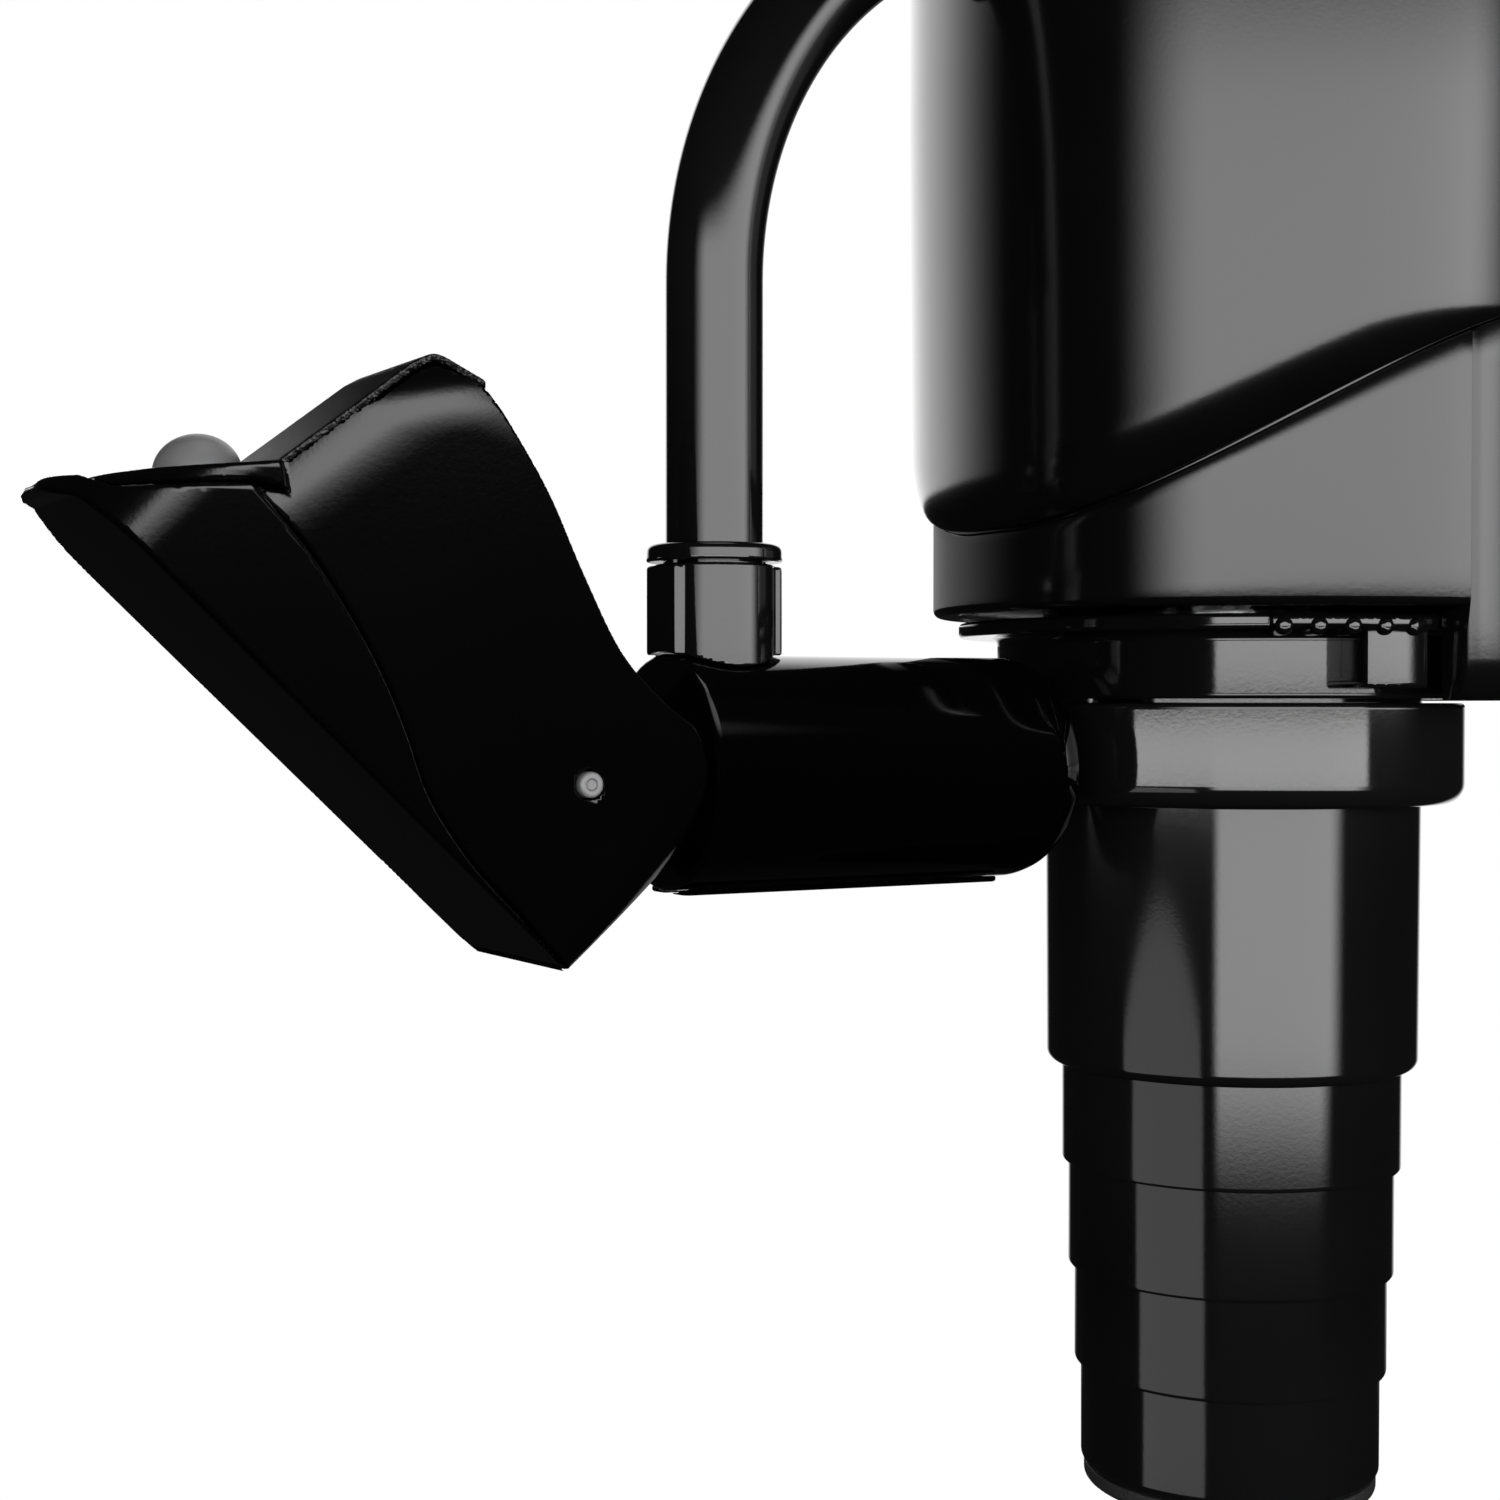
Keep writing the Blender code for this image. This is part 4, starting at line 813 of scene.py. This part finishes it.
# ---------------------------------------------------------------------------------------------------------
# Clamp ring: the plain, deep ring below the lock ring that the arm is moulded up to. Glossy black, with a
# softly rounded lower edge.
# ---------------------------------------------------------------------------------------------------------
ring_outline = soften([(RING_R, RING_HIGH, 0.7), (RING_R, RING_LOW, 3.0), (COLLAR_BORE, RING_LOW, 0.5),
                       (COLLAR_BORE, RING_HIGH, 0.4)], steps=9)
finished("clamp_ring_skin", turned("clamp_ring_skin", ring_outline, 200), gloss_black, "head", "clamp_ring")

# ---------------------------------------------------------------------------------------------------------
# Telescoping skirt: five thin tubes, each a little smaller than the one above, with a rolled lower lip.
# They are glossy black mouldings that nest; the last one carries a steel strainer and a rubber foot.
# ---------------------------------------------------------------------------------------------------------
STAGE_OUTER = (28.0, 25.4, 24.4, 23.4, 22.4)
STAGE_INNER = (25.7, 24.7, 23.7, 22.7, 20.9)
STAGE_BOTTOM = (-29.3, -44.5, -60.4, -75.2, -90.5)
STAGE_LENGTH = 60.0

tube_black = moulded("tube_black", grey=0.003, rough=0.08, grain=0.008)
for number, (outer, inner, bottom) in enumerate(zip(STAGE_OUTER, STAGE_INNER, STAGE_BOTTOM), start=1):
    first, last = number == 1, number == len(STAGE_OUTER)
    top = 37.6 if first else bottom + STAGE_LENGTH
    foot_r = outer - (0.4 if first else 0.15)
    lip = min(1.6 if first else 1.0, (foot_r - inner) * 0.8)
    corners = [(outer, top, 0.3), (foot_r, bottom, lip), (inner, bottom, 0.15), (inner, top, 0.3)]
    if last:
        corners = corners[:2] + [(18.4, bottom, 0.3), (18.4, bottom + 2.4, 0.3), (inner, bottom + 2.4, 0.3),
                                 corners[3]]
    title = f"skirt_stage_{number}"
    finished(title + "_skin", turned(title + "_skin", soften(corners), 180), tube_black,
             "head" if first else f"stage_{number}", title)

rubber = moulded("rubber_black", grey=0.006, rough=0.6, grain=0.5, scale=900.0)
foot = STAGE_BOTTOM[-1]
foot_outline = soften([(21.8, foot - GAP, 0.3), (21.8, foot - 2.8, 1.0), (18.6, foot - 2.8, 0.6),
                       (18.6, foot - GAP, 0.3)])
finished("foot_bumper_skin", turned("foot_bumper_skin", foot_outline, 160), rubber, "stage_5", "foot_bumper")

# ---------------------------------------------------------------------------------------------------------
# Inside parts, as built: the strainer, core, heater, probes and shaft are stainless steel, the motor can is
# zinc-plated, the boards are green laminate and the small mouldings are matt black or grey nylon.
# ---------------------------------------------------------------------------------------------------------


def metal(name, tone, rough, brush):
    """Drawn or turned steel: fine lines round the upright axis and a patchy shine."""
    shader = Shader(name)
    spot = shader.node("ShaderNodeTexCoord", None, None, 3)
    drawn = shader.node("ShaderNodeMapping", None, {"Vector": spot, "Scale": (1.0, 1.0, brush)})
    lines = shader.node("ShaderNodeTexNoise", None, {"Vector": drawn, "Scale": 120.0, "Detail": 4.0})
    patch = shader.node("ShaderNodeTexNoise", None, {"Vector": spot, "Scale": 40.0, "Detail": 2.0})
    low = [t * 0.85 for t in tone] + [1.0]
    colour = shader.node("ShaderNodeValToRGB", {"stops": [(0.3, low), (0.7, [*tone, 1.0])]}, {0: lines})
    bump = shader.node("ShaderNodeBump", None, {"Height": lines, "Strength": 0.08, "Distance": 0.0002})
    skin = shader.node("ShaderNodeBsdfPrincipled", None, {
        "Base Color": colour, "Metallic": 1.0, "Roughness": rough + patch * 0.15, "Normal": bump})
    shader.node("ShaderNodeOutputMaterial", None, {"Surface": skin})
    return shader.material


def laminate():
    """Green board with darker copper runs showing through the varnish."""
    shader = Shader("board_green")
    spot = shader.node("ShaderNodeTexCoord", None, None, 3)
    runs = shader.node("ShaderNodeTexBrick", None, {
        "Vector": spot, "Scale": 220.0, "Mortar Size": 0.06, "Color1": (0.008, 0.09, 0.03, 1),
        "Color2": (0.01, 0.12, 0.04, 1), "Mortar": (0.02, 0.19, 0.07, 1)})
    mottle = shader.node("ShaderNodeTexNoise", None, {"Vector": spot, "Scale": 300.0})
    skin = shader.node("ShaderNodeBsdfPrincipled", None, {
        "Base Color": runs, "Roughness": 0.3 + mottle * 0.2})
    shader.node("ShaderNodeOutputMaterial", None, {"Surface": skin})
    return shader.material


bright_steel = metal("bright_steel", (0.62, 0.62, 0.63), 0.2, 30.0)
plated_steel = metal("plated_steel", (0.42, 0.42, 0.43), 0.32, 12.0)
board_green = laminate()
grey_nylon = moulded("grey_nylon", grey=0.22, rough=0.45, grain=0.2)
nylon_black = moulded("nylon_black", grey=0.015, rough=0.42, grain=0.2)
CARRIED = {
    "foot_strainer": bright_steel, "seal_plate": bright_steel, "core_tube": bright_steel,
    "heater_coil": bright_steel, "temperature_probe": bright_steel, "level_probe_high": bright_steel,
    "level_probe_low": bright_steel, "drive_shaft": bright_steel, "motor_can": plated_steel,
    "chassis_plate": plated_steel, "chassis_screw_1": bright_steel, "chassis_screw_2": bright_steel,
    "chassis_screw_3": bright_steel, "friction_washer_near": bright_steel,
    "friction_washer_far": bright_steel,
    "key_power_switch": plated_steel, "key_time_switch": plated_steel, "key_heat_switch": plated_steel,
    "control_board": board_green, "power_board": board_green, "transformer": nylon_black,
    "dial_encoder": nylon_black, "cooling_fan": nylon_black, "hinge_knuckle": gloss_black,
    "impeller": grey_nylon, "release_spring_pad": rubber}
for title, material in CARRIED.items():
    node = frame["nodes"][title]
    node.data.materials.clear()
    node.data.materials.append(material)

# ---------------------------------------------------------------------------------------------------------
# Arm: a thick round moulding with a blunt, rounded nose that is cut to fit the two rings. A strip of rubber
# is let in under it where it sits on the pot, and the hinge pin crosses the knuckle at its far end.
# ---------------------------------------------------------------------------------------------------------
ARM_R, ARM_Z = 15.5, 15.9
ARM_TIP, ARM_NOSE, ARM_NOSE_FILLET = -31.8, 29.3, 8.0
PAD_FROM, PAD_TO, PAD_HALF_WIDTH = -31.0, 19.0, 5.0
PIN_X, PIN_Z, PIN_R, PIN_HALF = -48.9, 15.0, 1.6, 14.6


def arm_solid(x, y, z):
    away = np.hypot(y, z - ARM_Z)
    nose = round_box(x - ARM_NOSE, away - ARM_R, ARM_NOSE_FILLET)
    tip = round_box(ARM_TIP - x, away - ARM_R, 0.9)
    bar = np.where(x < 0, tip, nose)
    out = np.hypot(x - COLUMN_X, y)
    beside_ring = np.maximum(out - RING_R - GAP, z - RING_HIGH - GAP)
    return less(bar, np.minimum(beside_ring, out - NECK_R - 0.4), 0.5)


def pad_solid(x, y, z):
    bar = meet(round_box(np.maximum(PAD_FROM - x, x - PAD_TO), np.abs(y) - PAD_HALF_WIDTH, 1.2),
               np.maximum(-z, z - 6.0), 0.4)
    return less(bar, np.hypot(y, z - ARM_Z) - ARM_R - GAP, 0.15)


arm_mesh = cast("arm_skin", arm_solid, (ARM_TIP - 2, -17, ARM_Z - 17), (ARM_NOSE + 8, 17, ARM_Z + 17), 0.55)
finished("arm_skin", arm_mesh, gloss_black, "head", "arm", sharp=None)
pad_mesh = cast("rim_pad_skin", pad_solid, (PAD_FROM - 1, -6.2, -0.8), (PAD_TO + 1, 6.2, 3.2), 0.3)
finished("rim_pad_skin", pad_mesh, rubber, "head", "rim_pad", sharp=None)

pin_grey = moulded("pin_grey", grey=0.16, rough=0.35, grain=0.1)
pin_place = Matrix.Translation((PIN_X, 0, PIN_Z)) @ Matrix.Rotation(pi / 2, 4, "X")
pin_outline = soften([(0, PIN_HALF - 0.25, 0), (0.6, PIN_HALF - 0.25, 0.1), (0.8, PIN_HALF, 0.1),
                      (PIN_R, PIN_HALF, 0.35), (PIN_R, -PIN_HALF, 0.35), (0, -PIN_HALF, 0)], closed=False)
finished("hinge_pin_skin", turned("hinge_pin_skin", pin_outline, 64, pin_place, closed=False), pin_grey,
         "head", "hinge_pin")

# ---------------------------------------------------------------------------------------------------------
# Carry handle: a black tube that stands in a socket on the arm and bends over to a boss on the housing. A
# flanged nut holds it down in the socket, whose two flat lugs stop it turning.
# ---------------------------------------------------------------------------------------------------------
HANDLE_X, TUBE_R = -23.8, 6.5
TUBE_FOOT, TUBE_BEND_Z, TUBE_BEND_R, TUBE_BEND_DEG = 34.0, 80.4, 58.5, 68.0
TUBE_SIDES, BEND_STEPS = 64, 44
BOSS_R, BOSS_BACK, BOSS_FRONT = 9.4, -5.0, 14.0
NUT_R, NUT_LOW, NUT_HIGH = 9.0, 43.5, 45.8
SOCKET_R, SOCKET_LUG_R, SOCKET_LOW = 7.9, 8.2, 24.0

bend_x = HANDLE_X + TUBE_BEND_R
route = [(HANDLE_X, z, 90.0) for z in np.linspace(TUBE_FOOT, TUBE_BEND_Z - 1.0, 12)]
for i in range(BEND_STEPS + 1):
    turn = TUBE_BEND_DEG * i / BEND_STEPS
    route.append((bend_x - TUBE_BEND_R * cos(radians(turn)), TUBE_BEND_Z + TUBE_BEND_R * sin(radians(turn)),
                  90.0 - turn))
rings = []
for x, z, heading in route:
    across = (sin(radians(heading)), -cos(radians(heading)))
    rings.append([(x + TUBE_R * cos(a) * across[0], TUBE_R * sin(a), z + TUBE_R * cos(a) * across[1])
                  for a in (2 * pi * k / TUBE_SIDES for k in range(TUBE_SIDES))])
ends = [[(x, 0.0, z)] * TUBE_SIDES for x, z, _ in (route[0], route[-1])]
rings = [ends[0], *rings, ends[1]]
tube_mesh = ringed("handle_tube_skin", np.swapaxes(np.array(rings), 0, 1), closed=False)
finished("handle_tube_skin", tube_mesh, tube_black, "head", "handle_tube")

end_x, end_z, heading = route[-1]
run_x, run_z = cos(radians(heading)), sin(radians(heading))


def boss_solid(x, y, z):
    along = (x - end_x) * run_x + (z - end_z) * run_z
    away = np.sqrt(np.maximum((x - end_x) ** 2 + y ** 2 + (z - end_z) ** 2 - along ** 2, 0))
    body = round_box(np.maximum(BOSS_BACK - along, along - BOSS_FRONT), away - BOSS_R, 1.4)
    bored = less(body, np.maximum(away - TUBE_R - GAP, along - 0.3), 0.4)
    return less(bored, np.hypot(x - COLUMN_X, y) - HOUSING_TOP_R - 0.4, 0.4)


boss_low, boss_high = (Vector(corner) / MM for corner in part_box("handle_boss"))
boss_mesh = cast("handle_boss_skin", boss_solid, [v - 1.5 for v in boss_low],
                 [v + 1.5 for v in boss_high], 0.4)
finished("handle_boss_skin", boss_mesh, gloss_black, "head", "handle_boss", sharp=None)


def socket_solid(x, y, z):
    away = np.hypot(x - HANDLE_X, y)
    body = round_box(away - SOCKET_R, np.maximum(SOCKET_LOW - z, z - NUT_LOW + GAP), 0.4)
    lugs = meet(round_box(np.abs(x - HANDLE_X) - SOCKET_LUG_R, np.abs(y) - 4.0, 0.5),
                np.maximum(31.0 - z, z - NUT_LOW + 0.5), 0.4)
    bore = np.maximum(away - TUBE_R - GAP, TUBE_FOOT - GAP - z)
    body = less(joined(body, lugs, 0.3), bore, 0.2)
    return less(body, np.hypot(y, z - ARM_Z) - ARM_R - GAP, 0.3)


socket_mesh = cast("handle_socket_skin", socket_solid, (HANDLE_X - 9.5, -9.5, 24.0),
                   (HANDLE_X + 9.5, 9.5, 44.5), 0.35)
finished("handle_socket_skin", socket_mesh, gloss_black, "head", "handle_socket", sharp=None)
nut_outline = soften([(NUT_R, NUT_HIGH, 0.9), (NUT_R, NUT_LOW, 0.35), (TUBE_R + GAP, NUT_LOW, 0.1),
                      (TUBE_R + GAP, NUT_HIGH, 0.3)])
finished("handle_nut_skin", turned("handle_nut_skin", nut_outline, 96, upright(HANDLE_X, 0)), gloss_black,
         "head", "handle_nut")

# ---------------------------------------------------------------------------------------------------------
# Clamp lever: a wedge of two black shells that meet in a curved parting line. The lower tub has the sole and
# stands proud all round; the upper shell turns on the pin and has a grip strip let into its slanted front.
# ---------------------------------------------------------------------------------------------------------
HALF_WIDTH, UPPER_INSET, HEEL_R = 15.0, 0.8, 16.6
TAIL, SOLE_END, NOSE, DECK = (1.3, -24.5), (60.8, 32.7), (64.3, 34.2), (42.1, 37.1)
FRONT_FOOT, FRONT_TOP = (38.8, 37.2), (22.2, 49.8)
SLOT_R, SLOT_HALF, SWING, PLAN_MIDDLE = 6.6, 6.6, 45.0, 20.0
BUTTON_REACH, BUTTON_R = 44.2, 5.2
SOLE = atan2(SOLE_END[1] - TAIL[1], SOLE_END[0] - TAIL[0])
SLANT = atan2(FRONT_TOP[1] - FRONT_FOOT[1], FRONT_FOOT[0] - FRONT_TOP[0])
DECK_SLOPE = atan2(DECK[1] - NOSE[1], NOSE[0] - DECK[0])


def through(points, count):
    """Smooth points through a list, ends included."""
    ends = [points[0], *points, points[-1]]
    result = []
    for p0, p1, p2, p3 in zip(ends, ends[1:], ends[2:], ends[3:]):
        for i in range(count):
            t = i / count
            result.append(tuple(
                0.5 * (2 * b + (c - a) * t + (2 * a - 5 * b + 4 * c - d) * t * t
                       + (3 * b - a - 3 * c + d) * t ** 3)
                for a, b, c, d in zip(p0, p1, p2, p3)))
    result.append(points[-1])
    return result


def parting_line(shift):
    line = [(42.0, 34.7), (35.2, 26.9), (30.0, 19.2), (26.4, 12.6), (23.7, 6.3), (20.9, -1.2),
            (15.6, -9.0), (8.7, -16.3), (2.6, -22.9)]
    joint = [(56.9, 33.9), (49.5, 34.3)] + through(line, 5)
    return [(reach + shift, rise - shift) for reach, rise in joint]


def outline_depth(outline, u, v):
    """Signed distance to a closed outline, negative inside."""
    near = np.full(np.broadcast(u, v).shape, 1e9)
    sign = np.ones(near.shape)
    for (ax, ay), (bx, by) in zip(outline, outline[1:] + outline[:1]):
        ex, ey = bx - ax, by - ay
        length = ex * ex + ey * ey
        if length < 1e-12:
            continue
        wx, wy = u - ax, v - ay
        t = np.clip((wx * ex + wy * ey) / length, 0, 1)
        near = np.minimum(near, (wx - ex * t) ** 2 + (wy - ey * t) ** 2)
        above, below, left = v >= ay, v < by, ex * wy > ey * wx
        sign = np.where((above & below & left) | (~above & ~below & ~left), -sign, sign)
    return np.sqrt(near) * sign


def plan_depth(reach, rise, y, first, last, half, tail_r, nose_r):
    """Distance to the lever's outline seen square to its sole."""
    along = reach * cos(SOLE) + rise * sin(SOLE)
    side = np.abs(y) - half
    return np.where(along < PLAN_MIDDLE, round_box(first - along, side, tail_r),
                    round_box(along - last, side, nose_r))


nose_lip = [(60.0, 35.2), (63.0, 35.3), NOSE, (62.6, 33.1)]
lower_corners = ([(*p, 0) for p in parting_line(GAP / 2)[::-1]] + [(*p, 0) for p in nose_lip]
                 + [(*SOLE_END, 0), (*TAIL, 0)])
LOWER_OUTLINE = soften(lower_corners)
BODY_OUTLINE = (parting_line(-GAP / 2)[:1:-1] + [FRONT_FOOT]
                + through([FRONT_TOP, (18.9, 51.3), (15.6, 50.1), (12.6, 46.6)], 6)
                + through([(12.6, 46.6), (5.7, 36.0), (0.5, 25.3), (-4.4, 16.3), (-9.8, 10.6),
                           (-15.2, 6.7)], 6)[1:-1]
                + bow((0, 0), HEEL_R, 162, 225, 16))
DECK_OUTLINE = ([(37.8, 34.0), (38.3, 37.5), DECK, (52.0, 36.2), (59.4, 35.3)] + parting_line(-GAP / 2)[:3])
swing = radians(SWING)
way_out = (SLOT_R * cos(swing) - 30.0 * sin(swing), -SLOT_R * sin(swing) - 30.0 * cos(swing))
SLOT_OUTLINE = bow((0, 0), SLOT_R, 90, -SWING, 16) + [way_out, (-30.0, way_out[1]), (-30.0, SLOT_R)]
button_foot = (BUTTON_REACH, DECK[1] - (BUTTON_REACH - DECK[0]) * sin(DECK_SLOPE))
CROWN_OUTLINE = ([(FRONT_FOOT[0] + 32.0, FRONT_FOOT[1] - 32.0 * tan(SLANT))]
                 + through([FRONT_TOP, (18.9, 51.3), (15.6, 50.1)], 6)
                 + [(8.0, 46.5), (-6.0, 38.0), (-34.0, 10.0), (-34.0, -60.0)])
CHEEK_R, CHEEK_DEPTH, CROWN_FALL = 19.5, 9.0, radians(14.0)
CROWN_REACH, CROWN_RISE, CROWN_ROLL = 15.6, 51.0, 11.0
STRIP_HALF, STRIP_SUNK, STRIP_FOOT, STRIP_END = 11.2, 1.0, 1.0, 12.4
WELL_LOW, WELL_HIGH = -9.0, 8.0


def well_depth(reach, rise, y, radius, low, high):
    """Distance to the round well of the button, which leans with the deck."""
    over, up = reach - button_foot[0], rise - button_foot[1]
    along = over * sin(DECK_SLOPE) + up * cos(DECK_SLOPE)
    away = np.hypot(over * cos(DECK_SLOPE) - up * sin(DECK_SLOPE), y)
    return np.maximum(away - radius, np.maximum(low - along, along - high))


def strip_depth(reach, rise, y, half, sunk, ends):
    """Distance to the grip strip that runs up the slanted front and over the crown."""
    depth = outline_depth(CROWN_OUTLINE, reach, rise)
    up_front = (FRONT_FOOT[0] - reach) * cos(SLANT) + (rise - FRONT_FOOT[1]) * sin(SLANT)
    return round_box(np.maximum(STRIP_FOOT - ends - up_front, STRIP_END - ends - reach),
                     np.maximum(np.abs(y) - half, -depth - sunk), 0.2)


def lower_solid(x, y, z):
    reach, rise = PIN_X - x, z - PIN_Z
    side = outline_depth(LOWER_OUTLINE, reach, rise)
    shell = meet(side, plan_depth(reach, rise, y, -17.2, 69.6, HALF_WIDTH, 8.0, 13.0), 0.55)
    return less(shell, well_depth(reach, rise, y, BUTTON_R + GAP, WELL_LOW, WELL_HIGH), 0.2)


def upper_solid(x, y, z):
    reach, rise = PIN_X - x, z - PIN_Z
    front = (reach - FRONT_FOOT[0]) * sin(SLANT) + (rise - FRONT_FOOT[1]) * cos(SLANT)
    over = (CROWN_REACH - reach) * sin(CROWN_FALL) + (rise - CROWN_RISE) * cos(CROWN_FALL)
    sunk = np.maximum(CHEEK_DEPTH + meet(front, over, CROWN_ROLL), 0)
    cheeks = np.hypot(sunk, np.abs(y) - HALF_WIDTH + UPPER_INSET + CHEEK_R) - CHEEK_R
    body = meet(outline_depth(BODY_OUTLINE, reach, rise), cheeks, 0.35)
    whole = joined(body, outline_depth(DECK_OUTLINE, reach, rise) + 0 * y, 0.6)
    plan = plan_depth(reach, rise, y, -17.2, 66.4, HALF_WIDTH - UPPER_INSET, 7.5, 12.2)
    shell = meet(whole, plan, 0.7)
    slot = np.maximum(outline_depth(SLOT_OUTLINE, reach, rise), np.abs(y) - SLOT_HALF)
    shell = less(shell, slot, 0.3)
    shell = less(shell, np.hypot(reach, rise) + 0 * y - PIN_R - GAP, 0.15)
    shell = less(shell, strip_depth(reach, rise, y, STRIP_HALF + 0.7, STRIP_SUNK + GAP, GAP), 0.15)
    return less(shell, well_depth(reach, rise, y, BUTTON_R + GAP, WELL_LOW, WELL_HIGH), 0.3)


def strip_solid(x, y, z):
    reach, rise = PIN_X - x, z - PIN_Z
    strip = strip_depth(reach, rise, y, STRIP_HALF, STRIP_SUNK, 0.0)
    return meet(strip, outline_depth(CROWN_OUTLINE, reach, rise) + 0 * y, 0.3)


lever_black = moulded("lever_black", grey=0.003, rough=0.14, grain=0.03)
for title, solid, pitch in (("lever_lower_shell", lower_solid, 0.55),
                            ("lever_upper_shell", upper_solid, 0.48)):
    low, high = (Vector(corner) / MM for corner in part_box(title))
    shell_mesh = cast(title + "_skin", solid, [v - 2.0 for v in low], [v + 2.0 for v in high], pitch)
    finished(title + "_skin", shell_mesh, lever_black, "lever", title, sharp=None)
strip_low = (PIN_X - FRONT_FOOT[0] - 1.0, -STRIP_HALF - 1.0, PIN_Z + FRONT_FOOT[1] - 3.0)
strip_high = (PIN_X - 11.0, STRIP_HALF + 1.0, PIN_Z + 52.5)
strip_mesh = cast("lever_grip_strip", strip_solid, strip_low, strip_high, 0.3)
strip_black = moulded("strip_black", grey=0.006, rough=0.3, grain=0.6, scale=1300.0)
finished("lever_grip_strip", strip_mesh, strip_black, "lever", "lever_front_inlay", sharp=None)

# ---------------------------------------------------------------------------------------------------------
# Release button: a domed cap of mid-grey satin plastic that stands in a well in the lever's nose and sinks
# 1.8 mm onto its rubber spring pad.
# ---------------------------------------------------------------------------------------------------------
button_grey = moulded("button_grey", grey=0.12, rough=0.4, grain=0.15)
button_place = (Matrix.Translation((PIN_X - button_foot[0], 0, PIN_Z + button_foot[1]))
                @ Matrix.Rotation(-DECK_SLOPE, 4, "Y"))
dome = [(BUTTON_R * sin(radians(a)), 4.6 * cos(radians(a))) for a in np.linspace(0, 90, 14)]
button_outline = dome + [(BUTTON_R, -1.5), (BUTTON_R, -4.2), (BUTTON_R - 0.3, -4.5), (0, -4.5)]
button_mesh = turned("release_button_skin", button_outline, 96, button_place, closed=False)
finished("release_button_skin", button_mesh, button_grey, "release_button", "release_button")

# ---------------------------------------------------------------------------------------------------------
# Cord gland: a ribbed rubber sleeve pushed into the back of the housing, with an open bore for the lead. It
# thins towards its free end, so that the lead bends gently.
# ---------------------------------------------------------------------------------------------------------
GLAND_START, GLAND_LENGTH = COLUMN_X + HOUSING_R + 0.9, 18.1
gland_corners = [(8.6, 0.0, 0.4), (8.6, 3.0, 0.6)]
for number in range(4):
    at, wide = 4.2 + 3.2 * number, 7.4 - 0.75 * number
    gland_corners += [(wide - 0.9, at, 0.2), (wide - 0.9, at + 0.9, 0.2),
                      (wide, at + 1.1, 0.25), (wide, at + 2.6, 0.25)]
gland_corners += [(4.6, GLAND_LENGTH, 0.4), (3.5, GLAND_LENGTH, 0.25), (3.5, 2.0, 0), (3.0, 2.0, 0),
                  (3.0, 0.0, 0)]
gland_place = Matrix.Translation((GLAND_START, 0, GLAND_Z)) @ Matrix.Rotation(pi / 2, 4, "Y")
gland_mesh = turned("cord_gland_skin", soften(gland_corners, steps=4), 96, gland_place)
finished("cord_gland_skin", gland_mesh, rubber, "head", "cord_gland")

# ---------------------------------------------------------------------------------------------------------
# Which cards light which parts: the housing, collar, arm, lock ring and lever each have their own, so that
# the lever's flat sides stay black beside the lit head. All other parts take the common cards.
# ---------------------------------------------------------------------------------------------------------
part_of = {"upper_housing_skin": "housing", "lower_housing_skin": "collar", "arm_skin": "arm",
           "rim_pad_skin": "arm", "handle_boss_skin": "arm", "lock_ring_skin": "ring",
           "thumb_tab": "ring", "thumb_ridges": "ring"}
for made, lights in cards.values():
    made.light_linking.receiver_collection = bpy.data.collections.new("lit_by_" + made.name)
    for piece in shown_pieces():
        group = "lever" if body_of(piece) == ["lever"] else part_of.get(piece.name, "rest")
        if group in lights:
            made.light_linking.receiver_collection.objects.link(piece)

low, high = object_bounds()
